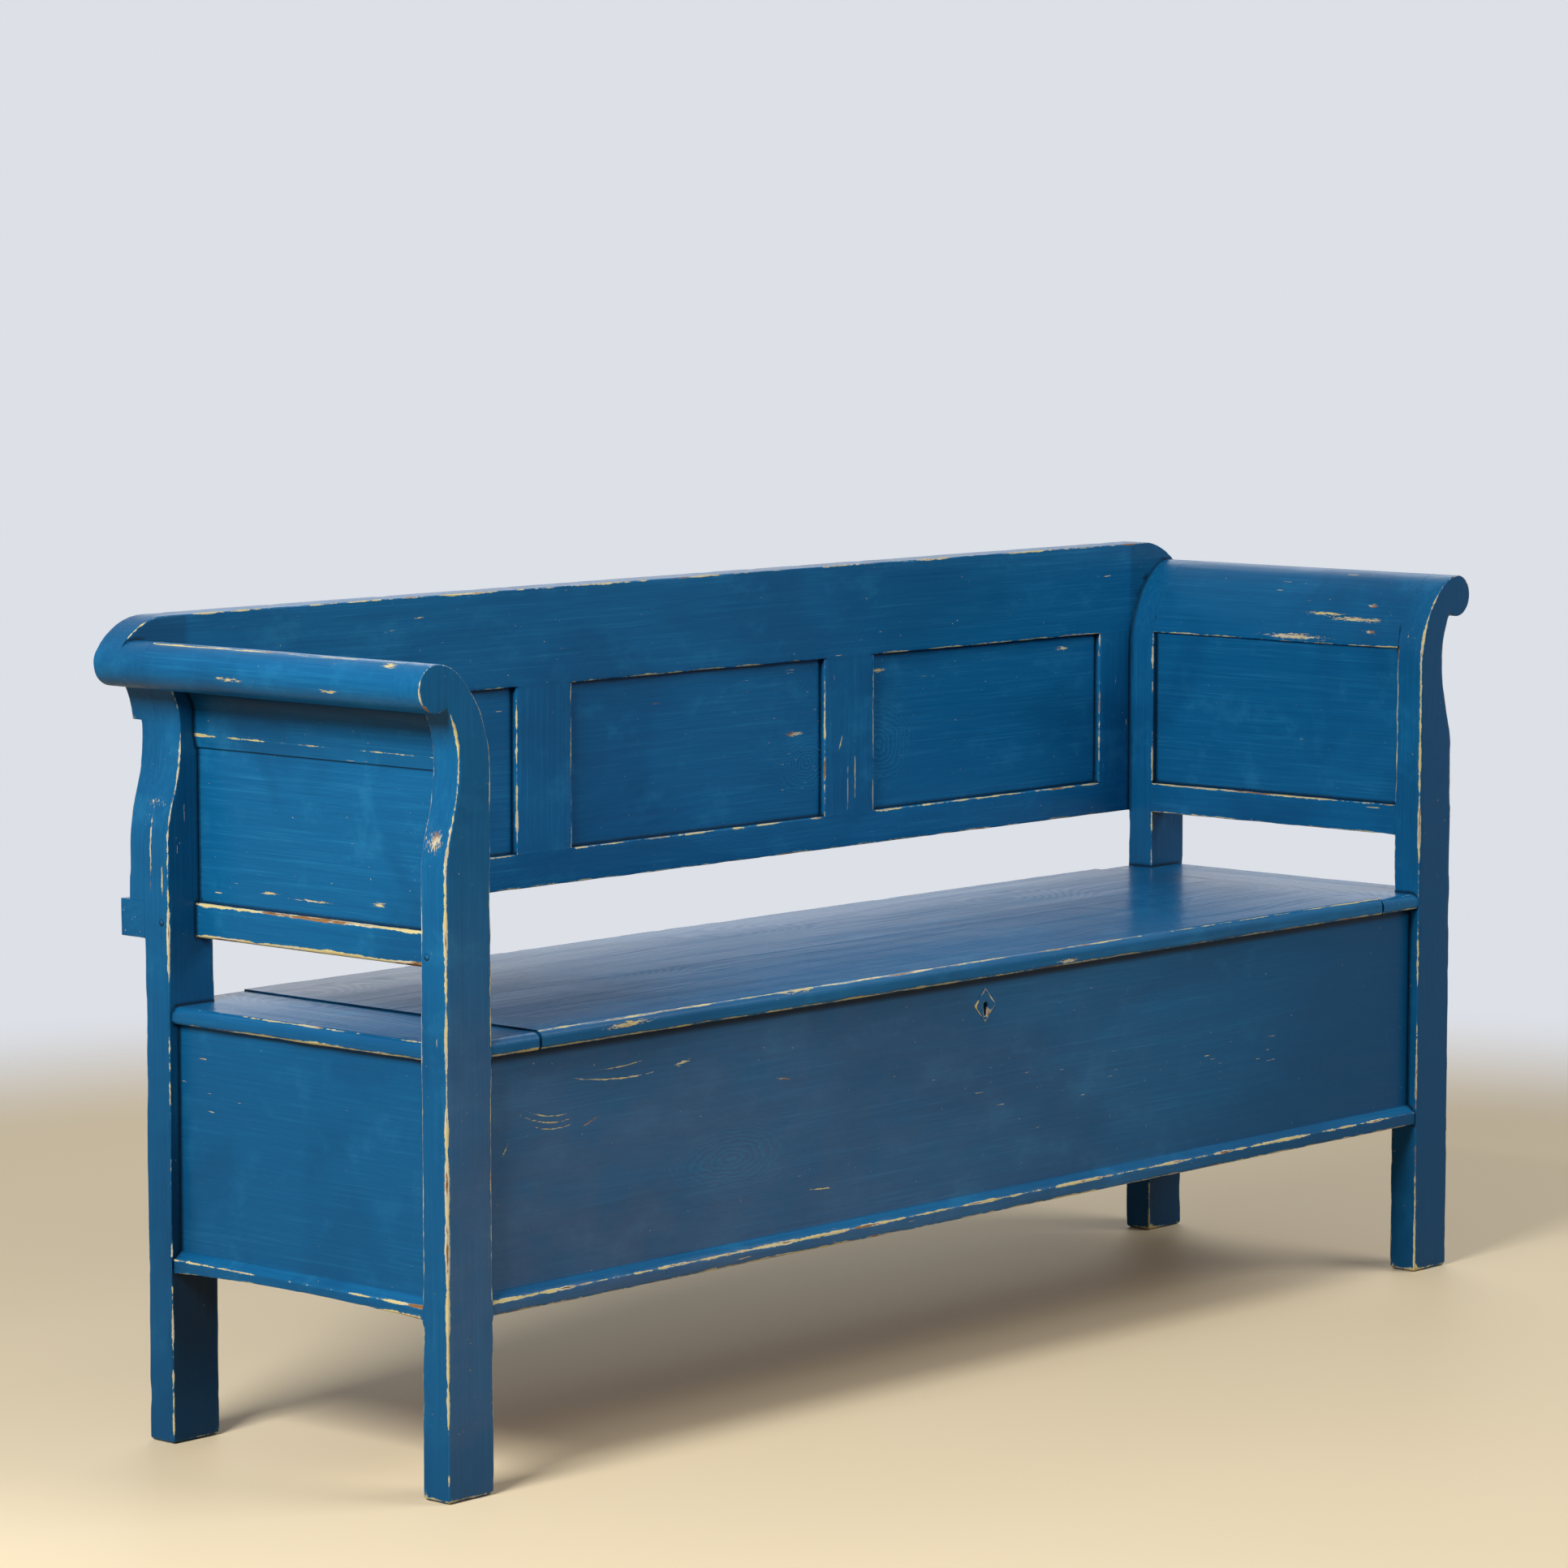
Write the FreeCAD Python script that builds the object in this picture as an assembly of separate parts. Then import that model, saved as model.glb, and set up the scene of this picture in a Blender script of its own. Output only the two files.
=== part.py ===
import FreeCAD, Part
import math
import os

# Painted box settle: four posts sawn into scrolls, a panelled back and arms, and a chest under a lid.
# Millimetres, +Z up, the front faces -Y. The origin is on the floor under the middle of the whole.

# Overall sizes
bench_length = 1850.0
frame_depth = 485.0
seat_height = 504.0
arm_rise = 412.0
back_rise = 25.0
box_clearance = 197.0

# Posts
post_width = 70.0
post_thickness = 40.0
foot_chamfer = 3.0
housing_depth = 8.0

# Scroll, neck and crown, the sawn outline that posts, arms and back share
scroll_radius = 27.0
scroll_overhang = 10.0
notch_angle = 235.0
neck_depth = 21.5
neck_drop = 105.0
neck_foot_drop = 235.0
neck_hollow_share = 0.57
crown_lap = 21.0
crown_radius = 50.0
shoulder_run = 47.5

# Arms
arm_thickness = 28.0
arm_gap = 73.0
arm_rail_height = 94.0
arm_lower_rail_height = 40.0
arm_lip_drop = 28.0
arm_lip_bevel_height = 14.0
arm_lip_bevel_depth = 3.0
arm_panel_thickness = 14.0
arm_panel_recess = 8.0
arm_tenon_length = 22.0
arm_tenon_thickness = 12.0
arm_tenon_shoulder = 6.0
roll_tenon_width = 25.0
roll_tenon_height = 22.0
roll_tenon_shift_share = 0.8
arm_peg_radius = 4.0
arm_peg_end_wall = 3.0

# Back
back_gap = 73.0
back_rail_thickness = 40.0
back_frame_thickness = 25.0
back_top_rail_height = 119.0
back_bottom_rail_height = 43.0
back_stile_width = 135.0
back_muntin_width = 96.0
back_panel_count = 3
back_panel_recess = 8.0
back_panel_thickness = 10.0
back_tenon_length = 25.0
back_tenon_thickness = 10.0
back_tenon_shoulder = 18.0
back_peg_radius = 5.0
back_peg_tip_gap = 2.0
back_peg_margin = 20.0
back_peg_low_lift = 21.0
back_peg_top_lifts = (22.0, 60.0)

# Panels sit in grooves with a little room to swell
panel_groove = 8.0
panel_float = 1.0

# Seat boards and lid
seat_board_thickness = 20.0
seat_board_reach = 75.0
seat_board_inset = 4.0
lid_thickness = 22.0
lid_end_gap = 3.0
seat_front_setback = 1.0
seat_rear_setback = 3.0
nose_top_radius = 10.0
nose_bottom_radius = 5.0
edge_match = 0.5
lid_batten_width = 60.0
lid_batten_thickness = 20.0
lid_batten_place_share = 0.62
lid_batten_end_gap = 12.0

# Lid pivots: one iron pin at each end, in line along the rear of the lid
pivot_inset = 13.0
pivot_radius = 5.0
pivot_in_lid = 40.0
pivot_end_wall = 18.0
pivot_clearance = 0.3
swing_clearance = 2.0

# Chest boards
front_board_thickness = 24.0
front_board_setback = 14.0
rear_board_thickness = 22.0
rear_board_setback = 4.0
end_board_thickness = 22.0
end_board_setback = 15.0

# Chest floor
floor_board_thickness = 15.0
floor_board_count = 3
bearer_width = 60.0
bearer_height = 25.0
bearer_lift = 6.0
bearer_place_share = 0.33

# Bevelled skirting and the shallow arch under the ends
skirting_thickness = 12.0
skirting_height = 25.0
skirting_bevel = 9.0
arch_rise = 6.0

# Chest lock, its escutcheon and the staple under the lid
keyhole_offset = -9.0
keyhole_drop = 34.0
keyhole_radius = 4.0
keyhole_slot_width = 3.6
keyhole_slot_length = 13.0
escutcheon_width = 40.0
escutcheon_height = 42.0
escutcheon_thickness = 1.5
escutcheon_pin_radius = 1.1
escutcheon_pin_length = 9.0
escutcheon_pin_share = 0.68
lock_plate_width = 112.0
lock_plate_height = 74.0
lock_plate_thickness = 2.0
lock_case_width = 78.0
lock_case_depth = 18.0
lock_case_wall = 2.0
lock_case_rim = 6.0
lock_top_gap = 6.0
lock_slot_clearance = 2.0
bolt_length = 46.0
bolt_height = 8.0
bolt_thickness = 5.0
bolt_drop = 9.0
bolt_travel = 10.0
bolt_tip_gap = 2.0
bolt_clearance = 0.3
bolt_keep_width = 7.0
bolt_notch_width = 9.0
bolt_notch_depth = 3.0
spring_thickness = 1.0
spring_length = 30.0
key_pin_radius = 1.6
strike_width = 58.0
strike_depth = 15.0
strike_thickness = 2.5
staple_offset = 20.0
staple_thickness = 3.0
staple_width = 11.0
staple_wall = 2.5
staple_foot = 2.5

# Screws, nails and pegs
screw_head_radius = 4.0
screw_head_height = 2.5
screw_radius = 2.0
screw_slot_width = 1.2
screw_slot_depth = 1.0
batten_screw_length = 32.0
batten_screw_count = 4
batten_screw_margin = 30.0
lock_screw_length = 16.0
lock_screw_margin = 6.0
strike_screw_length = 14.0
strike_screw_margin = 8.0
nail_radius = 1.4
nail_head_radius = 2.8
nail_head_height = 1.0
seat_nail_length = 45.0
seat_nail_count = 3
skirting_nail_length = 26.0
skirting_nail_count = 8
end_skirting_nail_count = 3
floor_nail_bite = 9.0
floor_nail_margin = 30.0
bearer_nail_length = 60.0
nail_margin = 45.0

# Places worked out from the sizes above: across the bench
outer_face = bench_length / 2
inner_face = outer_face - post_width
scroll_x = outer_face + scroll_overhang
end_board_outer = outer_face - end_board_setback
end_board_inner = end_board_outer - end_board_thickness
arm_outer_face = inner_face + arm_thickness
arm_panel_inner = inner_face + arm_panel_recess
arm_panel_outer = arm_panel_inner + arm_panel_thickness
seat_board_inner = inner_face - seat_board_reach
seat_board_outer = outer_face - seat_board_inset
lid_half = seat_board_inner - lid_end_gap
stile_inner = outer_face - back_stile_width

# Front to rear
total_depth = frame_depth + back_rail_thickness
front_face = -total_depth / 2
front_post_back = front_face + post_thickness
rear_post_back = front_face + frame_depth
rear_post_front = rear_post_back - post_thickness
back_face = rear_post_back
front_board_front = front_face + front_board_setback
front_board_back = front_board_front + front_board_thickness
rear_board_back = rear_post_back - rear_board_setback
rear_board_front = rear_board_back - rear_board_thickness
seat_front = front_face + seat_front_setback
seat_rear = rear_post_back - seat_rear_setback
seat_joint = (seat_front + seat_rear) / 2
pivot_y = seat_rear - pivot_inset

# Heights
arm_height = seat_height + arm_rise
lid_bottom = seat_height - lid_thickness
seat_board_top = lid_bottom + seat_board_thickness
pivot_z = lid_bottom + lid_thickness / 2
rear_board_top = pivot_z - math.hypot(pivot_inset, lid_thickness / 2) - swing_clearance
scroll_z = arm_height - scroll_radius
back_top = arm_height + back_rise
back_bottom = seat_height + back_gap
back_panel_low = back_bottom + back_bottom_rail_height
back_panel_high = back_top - back_top_rail_height
arm_bottom = seat_height + arm_gap
arm_panel_low = arm_bottom + arm_lower_rail_height
arm_panel_high = arm_height - arm_rail_height
arm_lip_low = arm_panel_high - arm_lip_drop
crown_height = arm_rail_height + crown_lap
neck_z = arm_height - neck_drop
neck_foot_z = arm_height - neck_foot_drop
crown_foot_z = arm_height - crown_height
bearer_bottom = box_clearance + bearer_lift
floor_bottom = bearer_bottom + bearer_height
floor_top = floor_bottom + floor_board_thickness
keyhole_z = lid_bottom - keyhole_drop

# Centre of the shoulder arc, which meets the top edge and the scroll without a corner
shoulder_height = back_top - scroll_z
shoulder_radius = (shoulder_run ** 2 + shoulder_height ** 2 - scroll_radius ** 2) / (
    2 * (shoulder_height - scroll_radius))
shoulder_x = scroll_x - shoulder_run
shoulder_z = back_top - shoulder_radius

parts = {}


def vector(x, y, z):
    return FreeCAD.Vector(x, y, z)


def box(x_range, y_range, z_range):
    """Rectangular solid between two planes in each direction."""
    low = [min(span) for span in (x_range, y_range, z_range)]
    size = [abs(span[1] - span[0]) for span in (x_range, y_range, z_range)]
    return Part.makeBox(*size, vector(*low))


def rod(radius, start, end):
    """Round bar from one point to another."""
    direction = end.sub(start)
    return Part.makeCylinder(radius, direction.Length, start, direction)


def single(shape):
    """The one solid inside a result, or the result itself if it holds several."""
    return shape.Solids[0] if len(shape.Solids) == 1 else shape


def carve(shape, tools):
    """A piece with other solids' space taken out of it."""
    return single(shape.cut(Part.makeCompound(tools)))


def joined(pieces):
    return single(pieces[0].fuse(pieces[1:]).removeSplitter())


def mirrored(shape):
    """The same piece for the other end of the bench."""
    return shape.mirror(vector(0, 0, 0), vector(1, 0, 0))


def line(start, end):
    """Straight edge in the plane of the front."""
    return Part.LineSegment(vector(start[0], 0, start[1]), vector(end[0], 0, end[1])).toShape()


def arc(centre, radius, start, end):
    """Round edge in the plane of the front, from one angle to another in degrees."""
    points = []
    for angle in (start, (start + end) / 2, end):
        turn = math.radians(angle)
        x = centre[0] + radius * math.cos(turn)
        z = centre[1] + radius * math.sin(turn)
        points.append(vector(x, 0, z))
    return Part.Arc(*points).toShape()


def prism(edges, y_range):
    """Solid whose outline in the plane of the front is the given edges."""
    face = Part.Face(Part.Wire(Part.__sortEdges__(edges)))
    solid = face.extrude(vector(0, y_range[1] - y_range[0], 0))
    solid.translate(vector(0, y_range[0], 0))
    return solid


def on_circle(centre, radius, angle):
    turn = math.radians(angle)
    return (centre[0] + radius * math.cos(turn), centre[1] + radius * math.sin(turn))


scroll_centre = (scroll_x, scroll_z)
notch = on_circle(scroll_centre, scroll_radius, notch_angle)


def neck_edges():
    """Outer edge of a post from the foot of the chest to the notch under its scroll."""
    neck_x = outer_face - neck_depth
    fall = neck_z - neck_foot_z
    sweep = 2 * math.atan(neck_depth / fall)
    radii = fall / math.sin(sweep)
    hollow = neck_hollow_share * radii
    swell = radii - hollow
    upper_run = notch[0] - neck_x
    upper_rise = notch[1] - neck_z
    upper = (upper_run ** 2 + upper_rise ** 2) / (2 * upper_run)
    upper_centre = (neck_x + upper, neck_z)
    upper_turn = math.degrees(math.asin(upper_rise / upper))
    turn = math.degrees(sweep)
    half_circle = 180
    return [
        line((outer_face, box_clearance), (outer_face, neck_foot_z)),
        arc((outer_face - swell, neck_foot_z), swell, 0, turn),
        arc((neck_x + hollow, neck_z), hollow, half_circle + turn, half_circle),
        arc(upper_centre, upper, half_circle, half_circle - upper_turn)]


def crown_edges():
    """Inner edge of an arm, from the top of the scroll down to the upright inner face."""
    run = scroll_x - inner_face
    sweep_radius = (run ** 2 + crown_height ** 2 - 2 * crown_height * crown_radius) / (
        2 * (run - crown_radius))
    crown_centre = (scroll_x, arm_height - crown_radius)
    sweep_centre = (inner_face + sweep_radius, crown_foot_z)
    rise = crown_centre[1] - sweep_centre[1]
    back = sweep_centre[0] - crown_centre[0]
    quarter = 90
    turn = quarter + math.degrees(math.atan2(back, rise))
    return [
        arc(crown_centre, crown_radius, quarter, turn),
        arc(sweep_centre, sweep_radius, turn, 2 * quarter)]


def scroll_edge(end_angle):
    """Round outer side of the scroll, from the notch underneath."""
    full_turn = 360
    return arc(scroll_centre, scroll_radius, notch_angle, full_turn + end_angle)


def post_blank(y_range):
    """Post with its scroll, before any joint is cut."""
    top_angle = 90
    edges = neck_edges() + [scroll_edge(top_angle)] + crown_edges()
    edges.append(line((inner_face, crown_foot_z), (inner_face, box_clearance)))
    edges.append(line((inner_face, box_clearance), (outer_face, box_clearance)))
    leg = box((inner_face, outer_face), y_range, (0, box_clearance))
    under = [edge for edge in leg.Edges if edge.BoundBox.ZMax < foot_chamfer]
    return joined([prism(edges, y_range), leg.makeChamfer(foot_chamfer, under)])


def back_blank(thickness):
    """Full outline of the back, down to the foot of the chest, at one thickness."""
    rise = scroll_z - shoulder_z
    shoulder_angle = math.degrees(math.atan2(rise, shoulder_run))
    top_angle = 90
    right = neck_edges() + [
        scroll_edge(shoulder_angle),
        arc((shoulder_x, shoulder_z), shoulder_radius, shoulder_angle, top_angle)]
    left = [mirrored(edge) for edge in right]
    base = line((-outer_face, box_clearance), (outer_face, box_clearance))
    top = line((-shoulder_x, back_top), (shoulder_x, back_top))
    return prism(right + left + [base, top], (back_face, back_face + thickness))


def screw(head, direction, length):
    """Countersunk slotted wood screw, its head flush at the given point."""
    cone = Part.makeCone(screw_head_radius, screw_radius, screw_head_height, head, direction)
    unit = vector(*direction)
    unit.normalize()
    tip_length = screw_head_height
    neck = head.add(unit * screw_head_height)
    shank_end = head.add(unit * (length - tip_length))
    tip = Part.makeCone(screw_radius, 0, tip_length, shank_end, direction)
    body = joined([cone, rod(screw_radius, neck, shank_end), tip])
    return body, carve(body, [slot_slab(head, unit)])


def slot_slab(head, unit):
    """Thin slab that cuts the driver slot across a screw head, along X."""
    half = screw_slot_width / 2
    wide = screw_head_radius
    depth = unit * screw_slot_depth
    if abs(unit.z) > abs(unit.y):
        side, deep = vector(0, half, 0), depth
    else:
        side, deep = vector(0, 0, half), depth
    corner_a = head.sub(side).sub(vector(wide, 0, 0))
    corner_b = head.add(side).add(vector(wide, 0, 0)).add(deep)
    spans = [(corner_a[axis], corner_b[axis]) for axis in range(3)]
    return box(*spans)


def nail(head, direction, length):
    """Cut nail with a flat head, flush at the given point."""
    unit = vector(*direction)
    unit.normalize()
    cap = rod(nail_head_radius, head, head.add(unit * nail_head_height))
    shank = rod(nail_radius, head.add(unit * nail_head_height), head.add(unit * length))
    return joined([cap, shank])


def spread(low, high, count):
    """Evenly spaced places between two limits, both included."""
    step = (high - low) / (count - 1)
    return [low + step * index for index in range(count)]


def both_ends(shape, name):
    """Keep a piece made for the right end and its mirror image for the left."""
    parts["right_" + name] = shape
    parts["left_" + name] = mirrored(shape)


# Chest boards, first as plain boards that also cut their own housings
board_end = inner_face + housing_depth
front_board = box((-board_end, board_end), (front_board_front, front_board_back),
                  (box_clearance, lid_bottom))
rear_board = box((-board_end, board_end), (rear_board_front, rear_board_back),
                 (box_clearance, lid_bottom))
end_board = box((end_board_inner, end_board_outer),
                (front_post_back - housing_depth, rear_post_front + housing_depth),
                (box_clearance, lid_bottom))

# Arm pieces for the right end
post_gap = (front_post_back, rear_post_front)
tenon_gap = (front_post_back - arm_tenon_length, rear_post_front + arm_tenon_length)
arm_middle = (inner_face + arm_outer_face) / 2
tenon_x = (arm_middle - arm_tenon_thickness / 2, arm_middle + arm_tenon_thickness / 2)
roll_tenon_x = scroll_x - roll_tenon_shift_share * scroll_radius
roll_tenon = box((roll_tenon_x - roll_tenon_width / 2, roll_tenon_x + roll_tenon_width / 2),
                 tenon_gap, (scroll_z - roll_tenon_height / 2, scroll_z + roll_tenon_height / 2))
lower_tenon = box(tenon_x, tenon_gap,
                  (arm_bottom + arm_tenon_shoulder, arm_panel_low - arm_tenon_shoulder))


def arm_panel(room):
    """Flat arm panel in its grooves; with room it is the space that the grooves leave."""
    edge = panel_groove + room
    return box((arm_panel_inner, arm_panel_outer),
               (front_post_back - edge, rear_post_front + edge),
               (arm_panel_low - edge, arm_panel_high + edge))


def arm_roll():
    """Top rail of the arm: the roll, the cove under it and the two lips round the panel."""
    cove = notch[0] - arm_outer_face
    cove_z = notch[1] - cove
    half_circle, quarter = 180, 90
    bevel_top = arm_lip_low + arm_lip_bevel_height
    bevel_x = arm_outer_face - arm_lip_bevel_depth
    edges = [
        line((inner_face, arm_lip_low), (bevel_x, arm_lip_low)),
        line((bevel_x, arm_lip_low), (arm_outer_face, bevel_top)),
        line((arm_outer_face, bevel_top), (arm_outer_face, cove_z)),
        arc((notch[0], cove_z), cove, half_circle, quarter),
        scroll_edge(quarter)]
    edges += crown_edges()
    edges.append(line((inner_face, crown_foot_z), (inner_face, arm_lip_low)))
    rail = prism(edges, post_gap)
    inner_lip = box((inner_face - arm_thickness, arm_panel_inner), post_gap,
                    (arm_lip_low - arm_lip_drop, arm_panel_high))
    return joined([carve(rail, [inner_lip, arm_panel(panel_float)]), roll_tenon])


def arm_pegs():
    """Pegs driven from the outer face through the tenons of the lower arm rail."""
    pegs = []
    z = (arm_bottom + arm_panel_low) / 2
    inner_end = inner_face + arm_peg_end_wall
    for y in (front_post_back - arm_tenon_length / 2, rear_post_front + arm_tenon_length / 2):
        pegs.append(rod(arm_peg_radius, vector(outer_face, y, z), vector(inner_end, y, z)))
    return pegs


right_arm_pegs = arm_pegs()
lower_rail = joined([
    box((inner_face, arm_outer_face), post_gap, (arm_bottom, arm_panel_low)), lower_tenon])
both_ends(arm_roll(), "arm_roll")
both_ends(carve(lower_rail, [arm_panel(panel_float)] + right_arm_pegs), "arm_lower_rail")
both_ends(arm_panel(0), "arm_panel")
parts["arm_pegs"] = Part.makeCompound(right_arm_pegs + [mirrored(peg) for peg in right_arm_pegs])


def back_pegs():
    """Pegs through the rails of the back into the right rear post."""
    rail_back = back_face + back_rail_thickness
    peg_end = back_face - (post_thickness - arm_tenon_length - back_peg_tip_gap)
    x_low = inner_face + back_peg_margin
    x_high = outer_face - back_peg_margin
    low_z = back_bottom + back_peg_low_lift
    places = [(x_low, low_z), (x_high, low_z)]
    top_places = zip((inner_face + post_width / 2, scroll_x - scroll_radius), back_peg_top_lifts)
    for x, lift in top_places:
        places.append((x, back_panel_high + lift))
    return [rod(back_peg_radius, vector(x, rail_back, z), vector(x, peg_end, z)) for x, z in places]


right_back_pegs = back_pegs()
all_back_pegs = right_back_pegs + [mirrored(peg) for peg in right_back_pegs]
parts["back_pegs"] = Part.makeCompound(all_back_pegs)

# Posts with the housings and mortises of what they carry
right_joints = [front_board, rear_board, end_board, roll_tenon, lower_tenon, arm_panel(panel_float)]
front_post = carve(post_blank((front_face, front_post_back)), right_joints + right_arm_pegs)
rear_post = carve(post_blank((rear_post_front, rear_post_back)),
                  right_joints + right_arm_pegs + right_back_pegs)
both_ends(front_post, "front_post")
both_ends(rear_post, "rear_post")


def back_panel_spans():
    """Left and right edges of each panel seen between the stiles and muntins."""
    width = (2 * stile_inner - (back_panel_count - 1) * back_muntin_width) / back_panel_count
    pitch = width + back_muntin_width
    starts = [-stile_inner + pitch * index for index in range(back_panel_count)]
    return [(start, start + width) for start in starts]


def back_panel(span, room):
    edge = panel_groove + room
    front = back_face + back_panel_recess
    return box((span[0] - edge, span[1] + edge), (front, front + back_panel_thickness),
               (back_panel_low - edge, back_panel_high + edge))


def upright_tenons(x_range):
    """Tenons at the foot and head of a stile or muntin, in one bar."""
    middle = back_face + back_frame_thickness / 2
    half = back_tenon_thickness / 2
    return box((x_range[0] + back_tenon_shoulder, x_range[1] - back_tenon_shoulder),
               (middle - half, middle + half),
               (back_panel_low - back_tenon_length, back_panel_high + back_tenon_length))


def make_back():
    """Rails, stiles, muntins and panels of the back."""
    spans = back_panel_spans()
    pockets = [back_panel(span, panel_float) for span in spans]
    thick = back_blank(back_rail_thickness)
    thin = back_blank(back_frame_thickness)
    everywhere = (-bench_length, bench_length)
    through = (back_face, back_face + back_rail_thickness)
    opening = (back_panel_low, back_panel_high)
    top_rail = thick.common(box(everywhere, through, (back_panel_high, 2 * back_top)))
    bottom_rail = thick.common(box(everywhere, through, (back_bottom, back_panel_low)))

    stile_tenon_end = outer_face - neck_depth
    stile_tenon = upright_tenons((stile_inner, stile_tenon_end))
    stile = thin.common(box((stile_inner, bench_length), through, opening))
    stile = joined([single(stile), stile_tenon])
    tenons = [stile_tenon, mirrored(stile_tenon)]
    for index in range(back_panel_count - 1):
        x_range = (spans[index][1], spans[index + 1][0])
        tenon = upright_tenons(x_range)
        tenons.append(tenon)
        muntin = box(x_range, (back_face, back_face + back_frame_thickness), opening)
        parts["back_muntin_%d" % (index + 1)] = carve(joined([muntin, tenon]), pockets)
    parts["back_top_rail"] = carve(top_rail, pockets + tenons + all_back_pegs)
    parts["back_bottom_rail"] = carve(bottom_rail, pockets + tenons + all_back_pegs)
    both_ends(carve(stile, pockets + right_back_pegs), "back_stile")
    for index, span in enumerate(spans):
        parts["back_panel_%d" % (index + 1)] = back_panel(span, 0)


make_back()


def keyhole(y_range):
    """Keyhole: a round eye over a narrow slot."""
    eye = rod(keyhole_radius, vector(keyhole_offset, y_range[0], keyhole_z),
              vector(keyhole_offset, y_range[1], keyhole_z))
    half = keyhole_slot_width / 2
    slot = box((keyhole_offset - half, keyhole_offset + half), y_range,
               (keyhole_z - keyhole_slot_length, keyhole_z))
    return joined([eye, slot])


lock_middle = keyhole_offset
staple_middle = lock_middle + staple_offset
lock_plate_front = front_board_back
lock_plate_back = lock_plate_front + lock_plate_thickness
lock_top = lid_bottom - lock_top_gap
lock_bottom = lock_top - lock_plate_height
case_back = lock_plate_back + lock_case_depth
bolt_top = lock_top - bolt_drop
bolt_low = bolt_top - bolt_height
bolt_y = (lock_plate_back + case_back - lock_case_wall) / 2
staple_low = bolt_low - staple_foot


def lock_screw_places():
    half = lock_plate_width / 2 - lock_screw_margin
    places = []
    for x in (lock_middle - half, lock_middle + half):
        for z in (lock_bottom + lock_screw_margin, lock_top - lock_screw_margin):
            places.append(vector(x, lock_plate_back, z))
    return places


def make_lock():
    """Chest lock on the inside of the front board, with its bolt drawn back."""
    screws = [screw(place, vector(0, -1, 0), lock_screw_length) for place in lock_screw_places()]
    half_plate = lock_plate_width / 2
    plate = box((lock_middle - half_plate, lock_middle + half_plate),
                (lock_plate_front, lock_plate_back), (lock_bottom, lock_top))
    holes = [hole for hole, _ in screws]
    parts["lock_plate"] = carve(plate, holes + [keyhole((lock_plate_front, lock_plate_back))])
    parts["lock_screws"] = Part.makeCompound([body for _, body in screws])

    half_case = lock_case_width / 2
    case_x = (lock_middle - half_case, lock_middle + half_case)
    case_z = (lock_bottom + lock_case_rim, lock_top)
    wall = lock_case_wall
    shell = box(case_x, (lock_plate_back, case_back), case_z)
    hollow = box((case_x[0] + wall, case_x[1] - wall), (lock_plate_back, case_back - wall),
                 (case_z[0] + wall, case_z[1] - wall))
    half_slot = staple_thickness / 2 + lock_slot_clearance
    half_staple = staple_width / 2 + lock_slot_clearance
    slot = box((staple_middle - half_slot, staple_middle + half_slot),
               (bolt_y - half_staple, bolt_y + half_staple), (case_z[1] - wall, case_z[1]))

    bolt_right = staple_middle - staple_thickness / 2 - bolt_tip_gap
    bolt_x = (bolt_right - bolt_length, bolt_right)
    half_bolt = bolt_thickness / 2
    bolt = box(bolt_x, (bolt_y - half_bolt, bolt_y + half_bolt), (bolt_low, bolt_top))
    notch_middle = lock_middle - bolt_travel / 2
    half_notch = bolt_notch_width / 2
    bolt_notch = box((notch_middle - half_notch, notch_middle + half_notch),
                     (bolt_y - half_bolt, bolt_y + half_bolt),
                     (bolt_low, bolt_low + bolt_notch_depth))
    parts["lock_bolt"] = carve(bolt, [bolt_notch])

    room = bolt_clearance
    keep_x = (bolt_x[1] - bolt_keep_width, bolt_x[1])
    keep = box(keep_x, (lock_plate_back, case_back - wall),
               (bolt_low - 2 * wall, bolt_top + wall))
    keep = carve(keep, [box(keep_x, (bolt_y - half_bolt - room, bolt_y + half_bolt + room),
                            (bolt_low - room, bolt_top + room))])
    parts["lock_case"] = joined([carve(shell, [hollow, slot]), keep])

    spring_x = (case_x[0] + wall, case_x[0] + wall + spring_length)
    spring_y = (bolt_y - half_bolt, bolt_y + half_bolt)
    spring_low = bolt_top + bolt_clearance
    foot = box((spring_x[0], spring_x[0] + spring_thickness), spring_y,
               (spring_low, lock_top - wall))
    leaf = box(spring_x, spring_y, (spring_low, spring_low + spring_thickness))
    parts["lock_spring"] = joined([foot, leaf])
    parts["lock_key_pin"] = rod(key_pin_radius, vector(lock_middle, lock_plate_back, keyhole_z),
                                vector(lock_middle, case_back - wall, keyhole_z))


make_lock()


def make_strike():
    """Staple on a plate under the lid, which the bolt of the lock slides through."""
    places = []
    half = strike_width / 2
    screw_reach = half - strike_screw_margin
    for x in (staple_middle - screw_reach, staple_middle + screw_reach):
        places.append(vector(x, bolt_y, lid_bottom - strike_thickness))
    screws = [screw(place, vector(0, 0, 1), strike_screw_length) for place in places]
    half_depth = strike_depth / 2
    plate = box((staple_middle - half, staple_middle + half),
                (bolt_y - half_depth, bolt_y + half_depth),
                (lid_bottom - strike_thickness, lid_bottom))
    half_thick = staple_thickness / 2
    half_wide = staple_width / 2
    staple_x = (staple_middle - half_thick, staple_middle + half_thick)
    staple = box(staple_x, (bolt_y - half_wide, bolt_y + half_wide),
                 (staple_low, lid_bottom - strike_thickness))
    eye_half = half_wide - staple_wall
    eye = box(staple_x, (bolt_y - eye_half, bolt_y + eye_half),
              (bolt_low - bolt_clearance, bolt_top + bolt_clearance))
    holes = [hole for hole, _ in screws]
    parts["lid_staple"] = joined([carve(plate, holes), carve(staple, [eye])])
    parts["staple_screws"] = Part.makeCompound([body for _, body in screws])
    return holes


staple_screw_holes = make_strike()


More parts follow.
